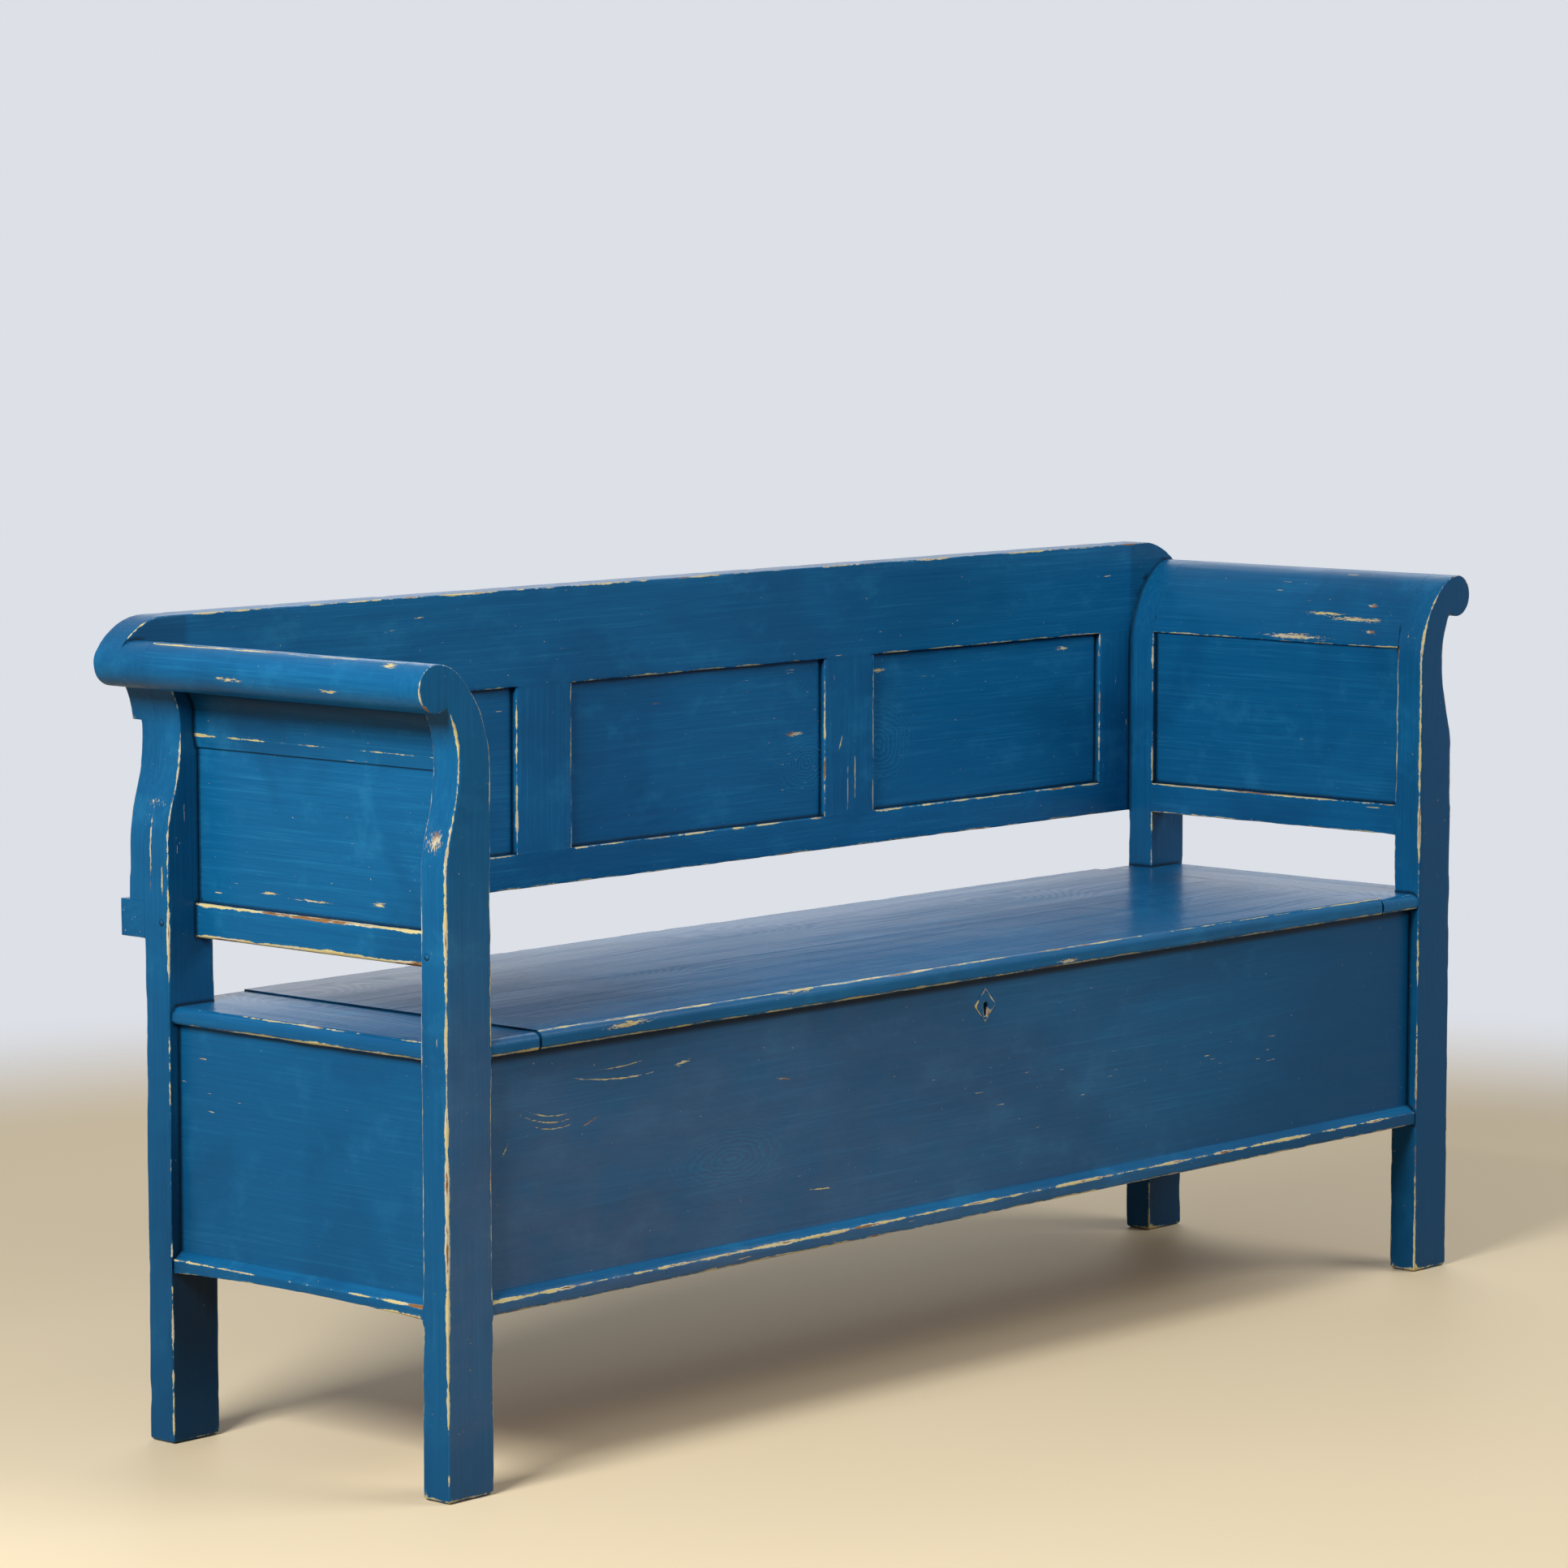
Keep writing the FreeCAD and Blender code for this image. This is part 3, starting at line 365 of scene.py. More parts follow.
def painted_front_veil_and_shade(tree, ground, colour, polish):
    """Painted light: a grey veil of painted reflection on the front, but for the seat, most at its low left
    end, and painted shade on the front toward its right and on low side faces.
    """
    spot, facing = ground.spot, ground.facing
    front = times(tree, ramp(tree, facing["Y"], *FACING_FRONT), ramp(tree, spot["Y"], *LYING_IN_FRONT))
    front = times(tree, front, 0.0 if polish else 1.0)
    veil = times(tree, ramp(tree, spot["X"], *VEIL_TO_LEFT), ramp(tree, spot["Z"], *VEIL_DOWNWARD))
    veil = times(tree, veil, ramp(tree, ground.cloud, *VEIL_PATCHES))
    # Painted reflection: a grey veil on the front, most at its low left end
    colour = blend(tree, times(tree, veil, front), colour, PAINTED_REFLECTION_GREY)
    # Painted shade: the front darker toward its right, and low side faces darker
    shade = times(tree, ramp(tree, spot["X"], *SHADED_TO_RIGHT), front)
    sideways = ramp(tree, calc(tree, "ABSOLUTE", facing["X"]), *FACING_SIDEWAYS)
    ends = times(tree, sideways, ramp(tree, spot["Z"], *SHADED_ENDS))
    return blend(tree, calc(tree, "MAXIMUM", shade, ends), colour, BLUE_DARK)


# The rear legs that get painted shade, by their place and direction, and the height below which all feet are
# darker
REAR_LEG_OUT, REAR_LEG_BEHIND = (0.850, 0.862), (0.14, 0.18)
REAR_LEG_FACING = (0.3, -0.7)
REAR_LEG_SHADE = (0.55, 0.12, 0.30, 0.88)
FOOT_DARKENING = (0.15, 0.01, 0.0, 0.50)


def rear_leg_shade_and_dark_feet(tree, ground, colour):
    """Painted shade on the front-facing rear legs, most low down under the chest, and all faces darker
    towards the bottom.
    """
    rear = times(tree, ramp(tree, ground.out, *REAR_LEG_OUT), ramp(tree, ground.spot["Y"], *REAR_LEG_BEHIND))
    rear = times(tree, rear, ramp(tree, ground.facing["Y"], *REAR_LEG_FACING))
    leg_shade = times(tree, rear, ramp(tree, ground.spot["Z"], *REAR_LEG_SHADE))
    # Painted shade on the rear legs
    colour = blend(tree, leg_shade, colour, PAINTED_SHADE)
    # All faces darker towards the bottom
    return blend(tree, ramp(tree, ground.spot["Z"], *FOOT_DARKENING), colour, BLUE_DARK)


# Flecks start at a level of their noise that is lower in a cluster, and end soon above it
IN_CLUSTER = (0.50, 0.70)
FLECK_LEVEL, FLECK_LEVEL_IN_CLUSTER = 0.815, -0.125
FLECK_EDGE = (0.0, 0.03)
SPECK_EDGE = (0.79, 0.82)
SPECK_SHARE = 0.6


def flecks(tree, ground):
    """The blue rubbed off short lengths of the raised grain, in clusters, and small specks."""
    cluster = ramp(tree, streaks(tree, ground.place, **CLUSTER), *IN_CLUSTER)
    level = weighted(tree, (cluster, FLECK_LEVEL_IN_CLUSTER), start=FLECK_LEVEL)
    line = calc(tree, "SUBTRACT", streaks(tree, ground.place, **FLECK), level)
    speck = ramp(tree, streaks(tree, ground.place, **SPECK), *SPECK_EDGE)
    return calc(tree, "MAXIMUM", ramp(tree, line, *FLECK_EDGE), times(tree, speck, SPECK_SHARE))


# The worn line along an arris: its width when fully worn, its raggedness, its soft edge and its fringe
LINE_WIDTH = 2.6 * MM
LINE_BY_WEAR, LINE_BY_RUB = 0.80, 0.80
LINE_BROKEN = (0.36, 0.66, -0.42, 0.40)
LINE_RAGGED = 3.6 * MM
LINE_EDGE = (0.0, 0.25 * MM)
DEEP_SHARE = 0.5
FRINGE_WIDTH = 1.6 * MM
FRINGE_EDGE = (0.0, 2.2 * MM)
FRINGE_SHARE = 0.34


def arris_lines(tree, ground):
    """Broken lines along the arrises: where the blue is gone, where the cream is too, and their fringe."""
    broken = ramp(tree, streaks(tree, ground.place, **SLOW), *LINE_BROKEN)
    worn = attribute(tree, "worn", "Fac")
    rub = attribute(tree, "rub", "Fac")
    width = times(tree, weighted(tree, (worn, LINE_BY_WEAR), (rub, LINE_BY_RUB), start=broken), LINE_WIDTH)
    uneven = calc(tree, "SUBTRACT", ground.ragged, 0.5)
    reach = weighted(tree, (uneven, LINE_RAGGED), start=attribute(tree, "arris", "Fac"))
    bare = ramp(tree, calc(tree, "SUBTRACT", width, reach), *LINE_EDGE)
    deep = ramp(tree, calc(tree, "SUBTRACT", times(tree, width, DEEP_SHARE), reach), *LINE_EDGE)
    outer = calc(tree, "ADD", width, FRINGE_WIDTH)
    return bare, deep, ramp(tree, calc(tree, "SUBTRACT", outer, reach), *FRINGE_EDGE)


# The coats that show where the blue is gone, by their tint, and the grime in the wood's pores
YELLOWED = (0.42, 0.55)
CREAM_GONE = (0.42, 0.35)
CREAM_STREAKED = (0.40, 0.70, 0.0, 0.45)
GRIMY = (0.35, 0.65)
BARE_WOOD = (0.48, 0.42)


def under_coats(tree, ground, deep):
    """Cream, here and there yellow, and brown wood where the wear is deep."""
    tint = streaks(tree, ground.place, **TINT)
    under = blend(tree, ramp(tree, tint, *YELLOWED), CREAM, YELLOW)
    under = blend(tree, ramp(tree, tint, *CREAM_GONE), under, OCHRE)
    under = blend(tree, ramp(tree, ground.bristle, *CREAM_STREAKED), under, OCHRE)
    wood = blend(tree, ramp(tree, ground.bristle, *GRIMY), OCHRE, GRIME)
    return blend(tree, times(tree, deep, ramp(tree, tint, *BARE_WOOD)), under, wood)


SCAR_DEPTH = 9 * MM
SCAR_RAGGED = 4.6
SCAR_LEVEL = 0.53
SCAR_EDGE = (0.0, 0.35)


class Scar:
    """A mark where the paint is gone: its middle, its length, its width, its slope and its bow."""

    def __init__(self, middle, length, width, turn=(0.0, 0.0, 0.0), bow=0.0):
        self.middle = middle
        self.size = (length / 2, SCAR_DEPTH, width / 2)
        self.turn = [math.radians(angle) for angle in turn]
        self.bow = bow


def scar_mask(tree, place, fray, scar):
    """Where one mark lies, with a ragged outline."""
    inputs = {"Vector": place, "Location": scar.middle, "Rotation": scar.turn, "Scale": scar.size}
    local = add(tree, "ShaderNodeMapping", inputs, vector_type="TEXTURE").outputs[0]
    parts = add(tree, "ShaderNodeSeparateXYZ", {0: local}).outputs
    bowed = calc(tree, "MULTIPLY_ADD", times(tree, parts["X"], parts["X"]), scar.bow, parts["Z"])
    moved = add(tree, "ShaderNodeCombineXYZ", {"X": parts["X"], "Y": parts["Y"], "Z": bowed}).outputs[0]
    away = add(tree, "ShaderNodeVectorMath", {0: moved}, operation="LENGTH").outputs["Value"]
    inside = calc(tree, "SUBTRACT", 1.0, away)
    uneven = calc(tree, "SUBTRACT", fray, SCAR_LEVEL)
    return ramp(tree, weighted(tree, (uneven, SCAR_RAGGED), start=inside), *SCAR_EDGE)


def distance_from(tree, place, middle, size):
    """How far a point lies from the middle of an oval, where 1 is on its edge."""
    inputs = {"Vector": place, "Location": middle, "Scale": size}
    local = add(tree, "ShaderNodeMapping", inputs, vector_type="TEXTURE").outputs[0]
    return add(tree, "ShaderNodeVectorMath", {0: local}, operation="LENGTH").outputs["Value"]


# Painted shade in the corners and painted shadow under the overhangs, and the rings of knots that show
# through the paint
CORNER_RAGGED = 0.5
CORNER_SHADE = (0.25, 0.95, 0.0, 0.88)
OVERHANG_SHADOW_FADE = (0.15, 1.0, 0.92, 0.0)
KNOT_RINGS = 11.0
KNOT_BENT = 0.6
KNOT_FADING = (0.35, 1.0, 1.0, 0.0)
KNOT_SHARE = 0.34


def painted_corner_and_overhang_shade(tree, ground, colour, overhang_shadows):
    """Painted shade in the corners, and painted shadow under the overhangs."""
    uneven = calc(tree, "SUBTRACT", ground.ragged, 0.5)
    corner_shade = weighted(tree, (uneven, CORNER_RAGGED), start=attribute(tree, "corner_shade", "Fac"))
    # Painted shade in the corners
    colour = blend(tree, ramp(tree, corner_shade, *CORNER_SHADE), colour, PAINTED_SHADE)
    for middle, size in overhang_shadows:
        # Painted shadow under an overhang
        dark = ramp(tree, distance_from(tree, ground.fixed, middle, size), *OVERHANG_SHADOW_FADE)
        colour = blend(tree, dark, colour, PAINTED_SHADE)
    return colour


def knot_rings(tree, ground, middle, size):
    """The wavy rings of one knot, fading outward."""
    away = distance_from(tree, ground.fixed, middle, size)
    wavy = weighted(tree, (ground.cloud, KNOT_BENT), start=away)
    ring = calc(tree, "SINE", times(tree, wavy, KNOT_RINGS * math.tau))
    return times(tree, ring, ramp(tree, away, *KNOT_FADING))


# How high and how rough the marks are, and the polish that sitting gives to the seat
RELIEF = {"brush": 0.50, "bristle": 0.25, "cloud": 0.25, "gone": -0.9}
ROUGH = {"least": 0.06, "brush": 0.16, "rings": 0.3, "lap": 0.26, "cloud": 0.10, "gone": 0.3}
PAINT_GRAIN = 0.2
POLISH_LAP, POLISH_BRUSH = 0.7, 0.3
POLISHED = (0.38, 0.60)
POLISH_LEAST_SHARE = 0.30
FACING_UP = (0.55, 0.97, 0.12, 1.0)


def coat_weight(tree, ground, polish, bare_wood):
    """Patchy polish on what faces up, but none on bare wood."""
    patchy = weighted(tree, (ground.brush, POLISH_BRUSH), (ground.lap, POLISH_LAP))
    gloss = ramp(tree, patchy, *POLISHED, polish * POLISH_LEAST_SHARE, polish)
    gloss = times(tree, gloss, ramp(tree, ground.facing["Z"], *FACING_UP))
    return times(tree, gloss, calc(tree, "SUBTRACT", 1.0, bare_wood))


def make_paint(name, scars=(), knots=(), overhang_shadows=(), polish=0.0, grain=PAINT_GRAIN, chest=False):
    """Worn satin paint that follows each board's grain and is rubbed through along its arrises."""
    made, tree = new_material(name)
    ground = Ground(tree)
    # Painted reflection and painted shade on the front and ends, then painted shade on the rear legs
    colour = rear_leg_shade_and_dark_feet(tree, ground, painted_front_veil_and_shade(tree, ground, blue_coat(tree, ground, grain), polish))

    bare, deep, fringe = arris_lines(tree, ground)
    gone = calc(tree, "MAXIMUM", bare, flecks(tree, ground))
    fray = streaks(tree, ground.place, **FRAY) if scars else None
    for scar in scars:
        gone = calc(tree, "MAXIMUM", gone, scar_mask(tree, ground.fixed, fray, scar))
    colour = blend(tree, times(tree, fringe, FRINGE_SHARE), colour, BLUE_PALE)
    colour = blend(tree, gone, colour, under_coats(tree, ground, deep))
    # Painted shade in the corners and painted shadow under the overhangs
    colour = painted_corner_and_overhang_shade(tree, ground, colour, overhang_shadows)

    relief = weighted(tree, (ground.bristle, RELIEF["bristle"]), (ground.brush, RELIEF["brush"]),
                      (ground.rings, grain), (ground.cloud, RELIEF["cloud"]), (gone, RELIEF["gone"]))
    for middle, size in knots:
        shown = knot_rings(tree, ground, middle, size)
        relief = weighted(tree, (shown, KNOT_SHARE), start=relief)
        colour = blend(tree, calc(tree, "MULTIPLY", shown, KNOT_SHARE, clamp=True), colour, BLUE_PALE)
    rough = weighted(tree, (ground.brush, ROUGH["brush"]), (ground.rings, grain * ROUGH["rings"]),
                     (ground.lap, ROUGH["lap"]), (ground.cloud, ROUGH["cloud"]), start=ROUGH["least"])
    rough = calc(tree, "MULTIPLY_ADD", gone, ROUGH["gone"], rough, clamp=True)

    bare_wood = never_painted(tree, ground.spot) if chest else 0.0
    if chest:
        pine_colour, pine_relief, pine_rough = pine_look(tree, ground.place, ground.rings, ground.knot)
        colour = blend(tree, bare_wood, colour, pine_colour)
        relief = mixed(tree, bare_wood, relief, pine_relief)
        rough = mixed(tree, bare_wood, rough, pine_rough)
    bump = add(tree, "ShaderNodeBump", {"Height": relief, "Strength": 0.6, "Distance": 0.30 * MM})
    inputs = {"Base Color": colour, "Roughness": rough, "Normal": bump.outputs[0],
              "IOR": 1.48, "Specular IOR Level": 0.12}
    if polish:
        inputs["Coat Weight"] = coat_weight(tree, ground, polish, bare_wood)
        inputs["Coat Roughness"] = 0.20
        inputs["Coat Normal"] = bump.outputs[0]
    finish_material(tree, inputs)
    return made


# Forged iron: near black scale, hammered, with brown rust in the hollows and bright grit

IRON_SCALE = (0.030, 0.028, 0.027)
IRON_RUST = (0.115, 0.042, 0.018)
IRON_GRIT = (0.17, 0.15, 0.13)
DENTS = {"Scale": 170.0, "Smoothness": 0.8}
RUST = {"Scale": 130.0, "Detail": 6.0, "Roughness": 0.7}
GRIT = {"Scale": 1400.0, "Detail": 3.0}
RUSTY = (0.48, 0.66)
GRITTY = (0.55, 0.80, 0.0, 0.4)
METAL, METAL_BY_RUST = 0.85, -0.75
IRON_ROUGH, IRON_ROUGH_BY_RUST = 0.42, 0.35
GRIT_RELIEF = 0.25


def make_iron():
    """Hand-forged iron, near black where its scale holds and brown where it rusts."""
    made, tree = new_material("black_iron")
    place = add(tree, "ShaderNodeTexCoord").outputs["Object"]
    dents = add(tree, "ShaderNodeTexVoronoi", {"Vector": place, **DENTS}, feature="SMOOTH_F1")
    rust = add(tree, "ShaderNodeTexNoise", {"Vector": place, **RUST}).outputs["Fac"]
    grit = add(tree, "ShaderNodeTexNoise", {"Vector": place, **GRIT}).outputs["Fac"]
    rusty = ramp(tree, rust, *RUSTY)
    colour = blend(tree, rusty, IRON_SCALE, IRON_RUST)
    colour = blend(tree, ramp(tree, grit, *GRITTY), colour, IRON_GRIT)
    relief = weighted(tree, (grit, GRIT_RELIEF), start=dents.outputs["Distance"])
    bump = add(tree, "ShaderNodeBump", {"Height": relief, "Strength": 0.5, "Distance": 0.35 * MM})
    metal = weighted(tree, (rusty, METAL_BY_RUST), start=METAL)
    rough = weighted(tree, (rusty, IRON_ROUGH_BY_RUST), start=IRON_ROUGH)
    finish_material(tree, {"Base Color": colour, "Metallic": metal, "Roughness": rough,
                           "Normal": bump.outputs[0]})
    return made


# Meshes: every board made anew from its solid

boxes = {name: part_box(name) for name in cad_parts}
trees = {name: BVHTree.FromPolygons([v.co for v in item.data.vertices],
                                    [tuple(p.vertices) for p in item.data.polygons])
         for name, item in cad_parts.items()}


def welded(node):
    """The node's own mesh as clean flat faces, with no doubled points."""
    made = bmesh.new()
    made.from_mesh(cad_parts[node].data)
    bmesh.ops.remove_doubles(made, verts=made.verts, dist=WELD)
    bmesh.ops.dissolve_limit(made, angle_limit=FLAT, verts=made.verts, edges=made.edges)
    return made


def is_arris(edge, least):
    return (len(edge.link_faces) == 2 and edge.is_convex and edge.calc_length() > least
            and edge.calc_face_angle() > ARRIS_ANGLE)


def is_crease(edge, least):
    return (len(edge.link_faces) == 2 and edge.is_convex and edge.calc_length() > least
            and CREASE_ANGLE < edge.calc_face_angle() < ARRIS_ANGLE)


def split_arrises(mesh):
    """Give every long arris more points, so that its wear can vary."""
    for edge in [e for e in mesh.edges if is_arris(e, ARRIS_LEAST) or is_crease(e, CREASE_LEAST)]:
        vert = edge.verts[0]
        for left in range(int(edge.calc_length() / ARRIS_STEP) + 1, 1, -1):
            _, new_vert = bmesh.utils.edge_split(edge, vert, 1.0 / left)
            edge = next(e for e in new_vert.link_edges if vert not in e.verts)
            vert = new_vert


def boxes_near(first, second, gap):
    low, high = boxes[first]
    low_2, high_2 = boxes[second]
    return all(low[i] - gap < high_2[i] and low_2[i] - gap < high[i] for i in range(3))


def neighbours(node):
    return [name for name in trees if name != node and boxes_near(node, name, JOINT_GAP)]


def touches(point, others, gap):
    return any(trees[other].find_nearest(point, gap)[0] is not None for other in others)


def wear_at(point):
    """How far an arris is rubbed down at one place, from a hint of wear to the full round."""
    worn = sum(weight * (0.5 + swing * noise.noise(point * waves)) for waves, swing, weight in WEAR_NOISES)
    share = min(1.0, max(0.0, worn + rubbed(point)))
    return WORN_LEAST_SHARE + (1.0 - WORN_LEAST_SHARE) * share


def rounded_noses(node):
    """The lines of wear that a rounded board edge has, above and below its nose."""
    found = []
    for name, start, end in NOSE_LINES:
        if name != node:
            continue
        start, end = Vector(start), Vector(end)
        steps = int((end - start).length / ARRIS_STEP)
        points = [start.lerp(end, step / steps) for step in range(steps + 1)]
        for first, second in zip(points, points[1:]):
            found.append((first, second, NOSE_SHARE * wear_at((first + second) / 2)))
    return found


def weigh_arrises(mesh, node, worn, gap):
    """Say how far each arris is rounded: hardly at a joint, unevenly where it lies open."""
    others = [name for name in trees if name != node and boxes_near(node, name, gap)]
    pegs = [name for name in others if name in PEGS]
    layer = mesh.edges.layers.float.new("bevel_weight_edge")
    open_lines = rounded_noses(node)
    for edge in mesh.edges:
        crease = is_crease(edge, ARRIS_STEP / 2) and edge.calc_length() < ARRIS_STEP * 2
        if not crease and not is_arris(edge, ARRIS_LEAST / 2):
            continue
        first, second = edge.verts
        middle = (first.co + second.co) / 2
        if touches(middle, others, gap):
            edge[layer] = 0.0 if crease or touches(middle, pegs, gap) else JOINT_SHARE
            continue
        share = worn * wear_at(middle) * (CREASE_SHARE if crease else 1.0)
        if worn:
            open_lines.append((first.co.copy(), second.co.copy(), share))
        edge[layer] = 0.0 if crease else share
    return open_lines


def rounded(mesh, name):
    """Round the weighed arrises and give back the new mesh."""
    data = bpy.data.meshes.new(name)
    mesh.to_mesh(data)
    mesh.free()
    blank = bpy.data.objects.new(name, data)
    bpy.context.collection.objects.link(blank)
    bevel = blank.modifiers.new("arrises", "BEVEL")
    bevel.limit_method = "WEIGHT"
    bevel.width = ARRIS_WIDTH
    bevel.segments = ARRIS_ROUNDS
    bevel.use_clamp_overlap = False
    bevel.loop_slide = False
    evaluated = blank.evaluated_get(bpy.context.evaluated_depsgraph_get())
    made = bmesh.new()
    made.from_mesh(evaluated.to_mesh())
    evaluated.to_mesh_clear()
    bpy.data.objects.remove(blank)
    bpy.data.meshes.remove(data)
    return made


def cut_at(mesh, faces, axis, places):
    """Cut some faces at several places along an axis: the middle one first, then each half."""
    if not places or not faces:
        return
    at = places[len(places) // 2]
    normal = Vector([1.0 if i == axis else 0.0 for i in range(3)])
    edges = list({edge for face in faces for edge in face.edges})
    verts = list({vert for face in faces for vert in face.verts})
    result = bmesh.ops.bisect_plane(mesh, geom=verts + edges + faces, dist=CUT_SNAP,
                                    plane_co=normal * at, plane_no=normal)
    halves = ([], [])
    for face in [item for item in result["geom"] if isinstance(item, bmesh.types.BMFace)]:
        spread = [vert.co[axis] - at for vert in face.verts]
        halves[max(spread) > -min(spread)].append(face)
    cut_at(mesh, halves[0], axis, places[:len(places) // 2])
    cut_at(mesh, halves[1], axis, places[len(places) // 2 + 1:])


def beside_neighbours(node, axis):
    """Places just clear of the next pieces, where the painted shade of a corner begins and ends."""
    low, high = boxes[node]
    found = []
    for name in neighbours(node):
        low_2, high_2 = boxes[name]
        if max(high_2[i] - low_2[i] for i in range(3)) < SMALL_PIECE:
            continue
        for cut in PROBE_CUTS:
            found += [low_2[axis] - cut, high_2[axis] + cut]
    return [at for at in found if low[axis] + PROBE_CUTS[0] < at < high[axis] - PROBE_CUTS[0]]


def cut_cells(mesh, node, cell, shoulders):
    """Cut the faces into cells, clear of the square shoulders."""
    low, high = boxes[node]
    for axis in range(3):
        span = high[axis] - low[axis]
        count = max(1, round(span / cell))
        places = [low[axis] + span * step / count for step in range(1, count)]
        if cell < HIDDEN_CELL:
            places += beside_neighbours(node, axis)
        clear = [at for at in places if all(abs(at - s) >= CUT_CLEAR for s in shoulders[axis])]
        edges = sorted(shoulders[axis])
        bands = [(first + second) / 2 for first, second in zip(edges, edges[1:])
                 if 2 * PROBE_CUTS[0] < second - first < 2 * CELL]
        noses = [start[axis] for name, start, end in NOSE_LINES if name == node and start[axis] == end[axis]]
        cut_at(mesh, mesh.faces[:], axis, sorted(set(clear + bands + noses)))


def square_shoulders(open_lines):
    """The places along each axis where an arris lies square to it."""
    found = [set(), set(), set()]
    for first, second, _ in open_lines:
        for axis in range(3):
            if abs(first[axis] - second[axis]) < WELD:
                found[axis].add(round(first[axis], SHOULDER_DIGITS))
    return found


def line_distance(point, first, second):
    along = second - first
    share = max(0.0, min(1.0, (point - first).dot(along) / along.length_squared))
    return (point - first - along * share).length


def arris_distances(mesh, open_lines):
    """How far each point of the mesh lies from the nearest open arris, and how worn that is."""
    finder = KDTree(max(1, len(open_lines)))
    for index, (first, second, _) in enumerate(open_lines):
        finder.insert((first + second) / 2, index)
    finder.balance()
    found = []
    for vert in mesh.verts:
        near = finder.find_n(vert.co, NEAR_ARRISES) if open_lines else []
        lines = [open_lines[index] for _, index, _ in near]
        away = [(line_distance(vert.co, first, second), share) for first, second, share in lines]
        found.append(min(away + [(ARRIS_REACH, 0.0)]))
    return found


def hollow(point):
    """How far the plane left the surface below true, at one place."""
    wave = sum(noise.noise(point * waves) for waves in HOLLOW_WAVES) / len(HOLLOW_WAVES)
    return HOLLOW * min(1.0, max(0.0, 0.5 + wave))


def chip(point, away, share):
    """How deep a knock has dented an arris, at one place near it."""
    depth = noise.noise(point * CHIP_WAVES) + CHIP_BY_WEAR * share + rubbed(point) - CHIP_LEVEL
    return CHIP * min(1.0, max(0.0, CHIP_SLOPE * depth)) * max(0.0, 1.0 - away / CHIP_BAND)


# Places where hands, feet and knocks took more paint off the arrises, or less: middle, reach, strength
RUBS = (
    ((-0.925, -0.2625, 0.62), 0.17, 0.60),
    ((-0.925, -0.2625, 0.30), 0.24, 0.90),
    ((-0.905, -0.2625, 0.80), 0.09, 0.35),
    ((-0.883, -0.02, 0.577), 0.15, 1.7),
    ((-0.883, 0.15, 0.577), 0.08, 1.3),
    ((-0.883, -0.17, 0.577), 0.06, 1.2),
    ((-0.883, -0.10, 0.617), 0.14, 0.2),
    ((-0.885, -0.02, 0.807), 0.25, -0.30),
    ((-0.920, -0.02, 0.215), 0.30, -0.35),
    ((-0.941, 0.15, 0.915), 0.10, 0.8),
    ((-0.941, 0.01, 0.915), 0.10, 0.7),
    ((-0.941, -0.12, 0.915), 0.08, 0.5),
    ((-0.65, -0.26, 0.488), 0.20, 0.45),
    ((-0.20, -0.26, 0.488), 0.25, 0.30),
    ((-0.45, -0.26, 0.21), 0.40, 0.30),
    ((0.35, -0.26, 0.21), 0.30, 0.20),
    ((0.86, -0.2625, 0.62), 0.25, 0.35),
    ((0.86, -0.2625, 0.85), 0.12, 0.30),
    ((-0.925, 0.2225, 0.66), 0.12, 0.5),
    ((-0.78, -0.26, 0.49), 0.05, 0.4),
    ((0.86, 0.0, 0.617), 0.22, 0.3),
    ((-0.925, 0.2425, 0.60), 0.09, -0.9),
    ((0.925, 0.2425, 0.60), 0.09, -0.9),
    ((-0.915, 0.2425, 0.83), 0.05, -0.7),
    ((0.915, 0.2425, 0.83), 0.05, -0.7),
    ((-0.30, 0.2225, 0.577), 0.40, 0.25),
    ((0.45, 0.2225, 0.577), 0.40, 0.25),
)


def rubbed(point):
    found = 0.0
    for middle, reach, strength in RUBS:
        found += strength * max(0.0, 1.0 - (point - Vector(middle)).length / reach)
    return found


# Rounded edges wear along lines above and below their nose, each at its depth or its distance from
# the middle, and its height. The lid and the end boards share them, and the left arm roll has a ridge
NOSE_FRONT = ((-0.2551, 0.5033), (-0.2603, 0.4837))
NOSE_OUT = ((0.9145, 0.5033), (0.9197, 0.4837))
LID_END = 0.777
SEAT_BOARD_INNER, SEAT_BOARD_AT_POST = 0.780, 0.855
SEAT_BOARD_FRONT, SEAT_BOARD_REAR = -0.2225, 0.1825
RIDGE_OUT, RIDGE_HEIGHT = -0.9415, 0.9152
RIDGE_FRONT, RIDGE_REAR = -0.2440, 0.2045


def find_nose_lines():
    """The board and the two ends of each worn line."""
    found = [("left_arm_roll", (RIDGE_OUT, RIDGE_FRONT, RIDGE_HEIGHT), (RIDGE_OUT, RIDGE_REAR, RIDGE_HEIGHT))]
    for front, height in NOSE_FRONT:
        found.append(("lid_front_board", (-LID_END, front, height), (LID_END, front, height)))
    for side, sign in (("left", -1.0), ("right", 1.0)):
        board = side + "_seat_board"
        for out, height in NOSE_OUT:
            start, end = (sign * out, SEAT_BOARD_FRONT, height), (sign * out, SEAT_BOARD_REAR, height)
            found.append((board, start, end))
        for front, height in NOSE_FRONT:
            start, end = (sign * SEAT_BOARD_INNER, front, height), (sign * SEAT_BOARD_AT_POST, front, height)
            found.append((board, start, end))
    return found


NOSE_LINES = find_nose_lines()


def board_axes(node):
    """The piece's own directions, longest first: the grain runs along the first."""
    low, high = boxes[node]
    return sorted(range(3), key=lambda axis: low[axis] - high[axis])


def note(data, name, kind, field, values):
    data.attributes.new(name, kind, "POINT").data.foreach_set(field, values)


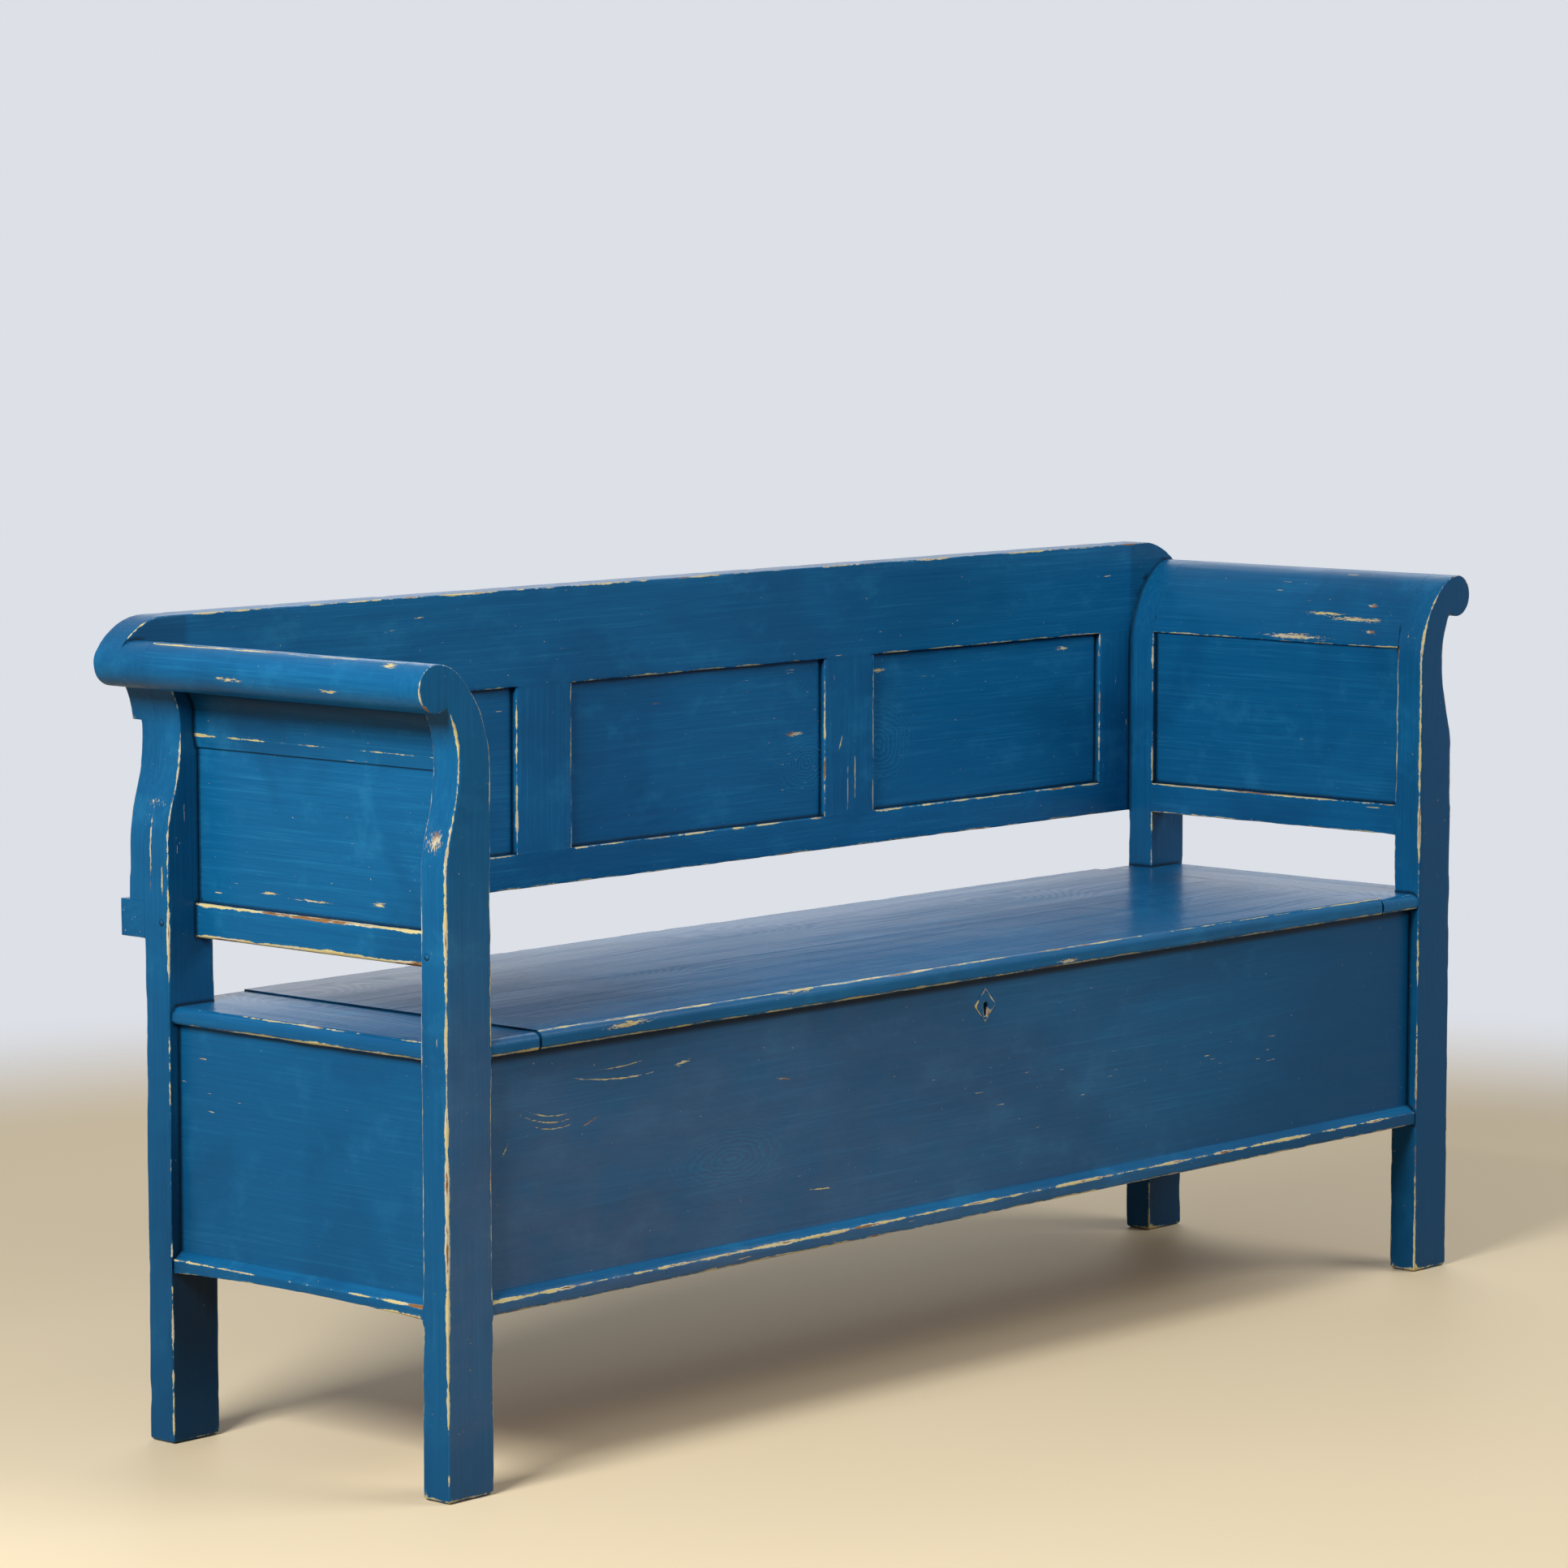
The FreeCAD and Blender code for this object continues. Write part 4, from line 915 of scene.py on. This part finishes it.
def crevices(mesh, node):
    """How deep each point sits in a corner, for the painted corner shade: 0 in the open, 1 against the next
    surface.
    """
    around = [node] + [name for name in trees if name != node and boxes_near(node, name, PROBE)]
    found = []
    for vert in mesh.verts:
        probe = vert.co + vert.normal * PROBE
        away = [trees[name].find_nearest(probe, PROBE)[3] for name in around]
        found.append(1.0 - min([PROBE] + [value for value in away if value is not None]) / PROBE)
    return found


def make_board(node, body, material, cell=CELL, worn=1.0, gap=WEAR_GAP):
    """Make one wooden piece anew and let it stand for its node."""
    mesh = welded(node)
    split_arrises(mesh)
    open_lines = weigh_arrises(mesh, node, worn, gap)
    mesh = rounded(mesh, "blank")
    cut_cells(mesh, node, cell, square_shoulders(open_lines))
    bmesh.ops.triangulate(mesh, faces=[f for f in mesh.faces if len(f.verts) > 4])
    mesh.normal_update()
    others = neighbours(node)
    chance = random.Random(node)
    start = Vector([chance.uniform(-GRAIN_SPAN, GRAIN_SPAN) for _ in range(3)])
    axes = board_axes(node)
    places = [start[i] + vert.co[axis] for vert in mesh.verts for i, axis in enumerate(axes)]
    arrises = arris_distances(mesh, open_lines)
    rubs = [rubbed(vert.co) for vert in mesh.verts]
    corners = crevices(mesh, node)
    for vert, (away, share) in zip(mesh.verts, arrises):
        if not touches(vert.co, others, JOINT_GAP):
            vert.co -= vert.normal * (hollow(vert.co) + chip(vert.co, away, share))
    data = bpy.data.meshes.new(node + "_wood")
    mesh.to_mesh(data)
    mesh.free()
    note(data, "board", "FLOAT_VECTOR", "vector", places)
    note(data, "arris", "FLOAT", "value", [away for away, _ in arrises])
    note(data, "worn", "FLOAT", "value", [share for _, share in arrises])
    note(data, "rub", "FLOAT", "value", rubs)
    note(data, "corner_shade", "FLOAT", "value", corners)
    data.materials.append(material)
    data.shade_smooth()
    piece = bpy.data.objects.new(node + "_wood", data)
    bpy.context.collection.objects.link(piece)
    normals = piece.modifiers.new("normals", "WEIGHTED_NORMAL")
    normals.weight = NORMAL_WEIGHT
    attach(piece, body)
    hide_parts(node)
    return piece


# Which piece is made of what

LID = ("lid_front_board", "lid_rear_board", "lid_batten_left", "lid_batten_right")
PINE = ("floor_board_1", "floor_board_2", "floor_board_3", "floor_bearer_left", "floor_bearer_right",
        "floor_bearer_left_end", "floor_bearer_right_end", "lid_batten_left", "lid_batten_right")
PEGS = ("arm_pegs", "back_pegs")
PAINTED_NAILS = ("seat_nails", "skirting_nails")
IRON = ("left_pivot_pin", "right_pivot_pin", "lock_plate", "lock_case", "lock_bolt", "lock_spring",
        "lock_key_pin", "lock_screws", "lid_staple", "staple_screws", "lid_screws", "floor_nails",
        "bearer_nails")
PLATE = ("escutcheon", "escutcheon_pins")
SEAT = ("lid_front_board", "lid_rear_board", "left_seat_board", "right_seat_board")
CHEST = SEAT + ("chest_front", "chest_rear", "left_chest_end", "right_chest_end")

# The seat is polished by those who sit on it, and its grain stands out. Hidden pieces are worn less
SEAT_POLISH = 0.56
SEAT_GRAIN = 0.30
HIDDEN_WORN = 0.6
UNWORN = 0.0

# The marks that show on single boards: middle, length and width in metres, slope in degrees, bow
UP = (0.0, -90.0, 0.0)
UP_A_SIDE = (0.0, -90.0, 90.0)
ALONG_Y = (0.0, 0.0, 90.0)
SCARS = {
    "chest_front": (
        Scar((-0.646, -0.2485, 0.4340), 0.130, 0.0021, (0, 3, 0), bow=-4.0),
        Scar((-0.634, -0.2485, 0.4470), 0.062, 0.0014, (0, -3, 0), bow=-2.0),
        Scar((-0.539, -0.2485, 0.4400), 0.024, 0.0045, (0, -8, 0)),
        Scar((-0.366, -0.2485, 0.4010), 0.030, 0.0018, (0, 8, 0)),
        Scar((-0.755, -0.2485, 0.4050), 0.060, 0.0015, (0, 8, 0), bow=-5.0),
        Scar((-0.752, -0.2485, 0.3975), 0.066, 0.0017, (0, 6, 0), bow=-5.0),
        Scar((-0.750, -0.2485, 0.3900), 0.056, 0.0014, (0, 5, 0), bow=-5.0),
        Scar((-0.690, -0.2485, 0.3900), 0.030, 0.0018, (0, -20, 0)),
        Scar((-0.304, -0.2485, 0.2640), 0.040, 0.0018, (0, 4, 0)),
        Scar((-0.822, -0.2485, 0.3750), 0.016, 0.0022, (0, -55, 0)),
    ),
    "lid_front_board": (
        Scar((-0.640, -0.2615, 0.4960), 0.070, 0.0065, (0, -2, 0)),
        Scar((-0.354, -0.2600, 0.5030), 0.055, 0.0050),
        Scar((0.133, -0.2615, 0.4880), 0.035, 0.0055),
    ),
    "right_arm_roll": (
        Scar((0.868, -0.096, 0.861), 0.060, 0.0045, ALONG_Y),
        Scar((0.866, -0.150, 0.856), 0.085, 0.0055, ALONG_Y),
        Scar((0.859, -0.176, 0.842), 0.020, 0.0050, (25, 0, 90)),
        Scar((0.857, -0.052, 0.829), 0.090, 0.0075, (-4, 0, 90)),
        Scar((0.875, -0.170, 0.874), 0.016, 0.0045, ALONG_Y),
    ),
    "left_arm_roll": (
        Scar((-0.958, 0.040, 0.884), 0.045, 0.0050, ALONG_Y),
        Scar((-0.950, -0.205, 0.912), 0.022, 0.0055, ALONG_Y),
        Scar((-0.961, -0.120, 0.880), 0.028, 0.0035, ALONG_Y),
    ),
    "left_front_post": (
        Scar((-0.925, -0.233, 0.738), 0.046, 0.015, UP),
        Scar((-0.919, -0.243, 0.722), 0.028, 0.009, UP),
    ),
    "left_rear_post": (
        Scar((-0.925, 0.208, 0.734), 0.034, 0.012, (0, 0, 90)),
        Scar((-0.925, 0.218, 0.725), 0.034, 0.007, UP),
        Scar((-0.925, 0.211, 0.680), 0.100, 0.0024, UP_A_SIDE),
        Scar((-0.925, 0.192, 0.644), 0.036, 0.0030, UP_A_SIDE),
    ),
    "left_arm_panel": (
        Scar((-0.877, 0.066, 0.637), 0.030, 0.0035, ALONG_Y),
        Scar((-0.877, -0.005, 0.634), 0.060, 0.0022, ALONG_Y),
        Scar((-0.877, -0.110, 0.639), 0.020, 0.0055, ALONG_Y),
    ),
    "back_muntin_2": (
        Scar((0.262, 0.2225, 0.712), 0.022, 0.0028, (0, -70, 0)),
        Scar((0.290, 0.2225, 0.668), 0.060, 0.0022, UP),
        Scar((0.276, 0.2225, 0.650), 0.050, 0.0018, UP),
    ),
    "back_panel_2": (Scar((0.182, 0.2305, 0.729), 0.030, 0.0060),),
    "back_panel_3": (
        Scar((0.345, 0.2305, 0.800), 0.022, 0.0055),
        Scar((0.720, 0.2305, 0.806), 0.024, 0.0060),
    ),
    "right_front_post": (Scar((0.868, -0.2400, 0.830), 0.030, 0.012, UP),),
}

# Ovals, each with its middle and half sizes: painted shadow under the lid's nose and under the
# overhang of both arm rolls, and the knots that show through the paint
OVERHANG_SHADOWS = {"chest_front": [((0.0, -0.2485, 0.4790), (2.4, 0.006, 0.0095))],
         "left_arm_roll": [((-0.8860, -0.02, 0.8660), (0.026, 0.9, 0.027))],
         "right_arm_roll": [((0.8900, -0.02, 0.8640), (0.016, 0.9, 0.024))]}
KNOTS = {"chest_front": [((-0.455, -0.2485, 0.318), (0.130, 0.04, 0.050))],
         "back_panel_3": [((0.345, 0.2305, 0.705), (0.085, 0.04, 0.075))],
         "back_panel_2": [((0.205, 0.2305, 0.690), (0.07, 0.04, 0.05))]}


def find_paint(node, common):
    """The paint of one board: its own where it has marks of its own, is sat on or encloses the chest."""
    if not any(node in group for group in (SCARS, KNOTS, OVERHANG_SHADOWS, CHEST)):
        return common
    used = {"polish": SEAT_POLISH, "grain": SEAT_GRAIN} if node in SEAT else {}
    marks = [group.get(node, ()) for group in (SCARS, KNOTS, OVERHANG_SHADOWS)]
    return make_paint("paint_" + node, *marks, chest=node in CHEST, **used)


def dress(pine, iron):
    """Give every node its finish: boards are made anew, metal keeps its solid."""
    paint = make_paint("blue_paint")
    for node in sorted(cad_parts):
        body = "lid" if node in LID else "frame"
        if node in PINE:
            make_board(node, body, pine, cell=HIDDEN_CELL, worn=HIDDEN_WORN)
        elif node in IRON:
            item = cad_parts[node]
            item.data.materials.clear()
            item.data.materials.append(iron)
        elif node in PEGS:
            make_board(node, body, paint, cell=HIDDEN_CELL, worn=UNWORN)
        elif node in PAINTED_NAILS:
            make_board(node, body, paint, cell=HIDDEN_CELL, worn=UNWORN)
        elif node in PLATE:
            make_board(node, body, paint, cell=HIDDEN_CELL, worn=HIDDEN_WORN, gap=JOINT_GAP)
        else:
            make_board(node, body, find_paint(node, paint))


# Studio: a plain pale floor that fades into a pale surround, and soft light mostly from the left

FLOOR_COLOUR = (0.80, 0.67, 0.46)
FLOOR_BOUNCE = (0.40, 0.32, 0.22)
SURROUND = (0.72, 0.745, 0.80)
FLOOR_SIDE = 30.0
FLOOR_FADE = (1.9, 3.1)
FILL_COLOUR = (1.0, 0.98, 0.96)
FILL_STRENGTH = 0.11

# Lamps: name, place, aim, size, power and colour
MIDDLE = (0.0, 0.0, 0.45)
LAMPS = (
    ("left_window", (-3.9, -0.75, 2.9), MIDDLE, (1.4, 1.4), 196.0, (1.0, 0.99, 0.97)),
    ("front_fill", (2.2, -3.6, 3.6), MIDDLE, (3.4, 2.4), 122.0, (1.0, 0.99, 0.98)),
    ("back_fill", (3.4, 3.1, 3.1), MIDDLE, (3.0, 2.2), 40.0, (1.0, 0.99, 0.98)),
    ("top_fill", (-0.6, -0.9, 4.2), (0.0, 0.0, 0.0), (3.4, 3.0), 8.0, (1.0, 0.99, 0.97)),
)


def seen_directly(tree):
    """1 for what the eye sees, also in a reflection; 0 for the light that falls on the object."""
    path = add(tree, "ShaderNodeLightPath").outputs
    seen = calc(tree, "MAXIMUM", path["Is Camera Ray"], path["Is Glossy Ray"])
    return calc(tree, "MAXIMUM", seen, path["Is Transmission Ray"])


def make_floor():
    made, tree = new_material("floor")
    place = add(tree, "ShaderNodeTexCoord").outputs["Object"]
    away = add(tree, "ShaderNodeVectorMath", {0: place}, operation="LENGTH").outputs["Value"]
    solid = ramp(tree, away, *FLOOR_FADE, 1.0, 0.0)
    colour = blend(tree, seen_directly(tree), FLOOR_BOUNCE, FLOOR_COLOUR)
    matt = add(tree, "ShaderNodeBsdfPrincipled", {"Base Color": colour, "Roughness": 0.6,
                                                  "Specular IOR Level": 0.2})
    clear = add(tree, "ShaderNodeBsdfTransparent")
    mix = add(tree, "ShaderNodeMixShader", {0: solid, 1: clear.outputs[0], 2: matt.outputs[0]})
    add(tree, "ShaderNodeOutputMaterial", {"Surface": mix.outputs[0]})
    data = bpy.data.meshes.new("floor")
    half = FLOOR_SIDE / 2
    data.from_pydata([(-half, -half, 0), (half, -half, 0), (half, half, 0), (-half, half, 0)], [],
                     [(0, 1, 2, 3)])
    data.materials.append(made)
    floor = bpy.data.objects.new("floor", data)
    bpy.context.collection.objects.link(floor)


def make_world():
    world = bpy.data.worlds.new("surround")
    bpy.context.scene.world = world
    world.use_nodes = True
    tree = world.node_tree
    tree.nodes.clear()
    seen = seen_directly(tree)
    fill = add(tree, "ShaderNodeBackground", {"Color": (*FILL_COLOUR, 1.0), "Strength": FILL_STRENGTH})
    shown = add(tree, "ShaderNodeBackground", {"Color": (*SURROUND, 1.0), "Strength": 1.0})
    mix = add(tree, "ShaderNodeMixShader", {0: seen, 1: fill.outputs[0], 2: shown.outputs[0]})
    add(tree, "ShaderNodeOutputWorld", {"Surface": mix.outputs[0]})


def make_light(name, place, target, size, power, colour):
    data = bpy.data.lights.new(name, "AREA")
    data.shape = "RECTANGLE"
    data.size, data.size_y = size
    data.energy = power
    data.color = colour
    light = bpy.data.objects.new(name, data)
    light.visible_camera = False
    light.location = place
    light.rotation_euler = (Vector(target) - Vector(place)).to_track_quat("-Z", "Y").to_euler()
    bpy.context.collection.objects.link(light)


def make_camera():
    data = bpy.data.cameras.new("camera")
    data.sensor_width = SENSOR
    data.lens = CAMERA_LENS
    data.clip_end = CAMERA_REACH
    camera = bpy.data.objects.new("camera", data)
    camera.location = CAMERA_PLACE
    camera.rotation_euler = (math.radians(90 - CAMERA_TILT), 0.0, math.radians(CAMERA_TURN))
    bpy.context.collection.objects.link(camera)
    bpy.context.scene.camera = camera


make_camera()
make_world()
make_floor()
for lamp in LAMPS:
    make_light(*lamp)
bpy.context.scene.view_settings.view_transform = "Standard"

dress(make_pine(), make_iron())
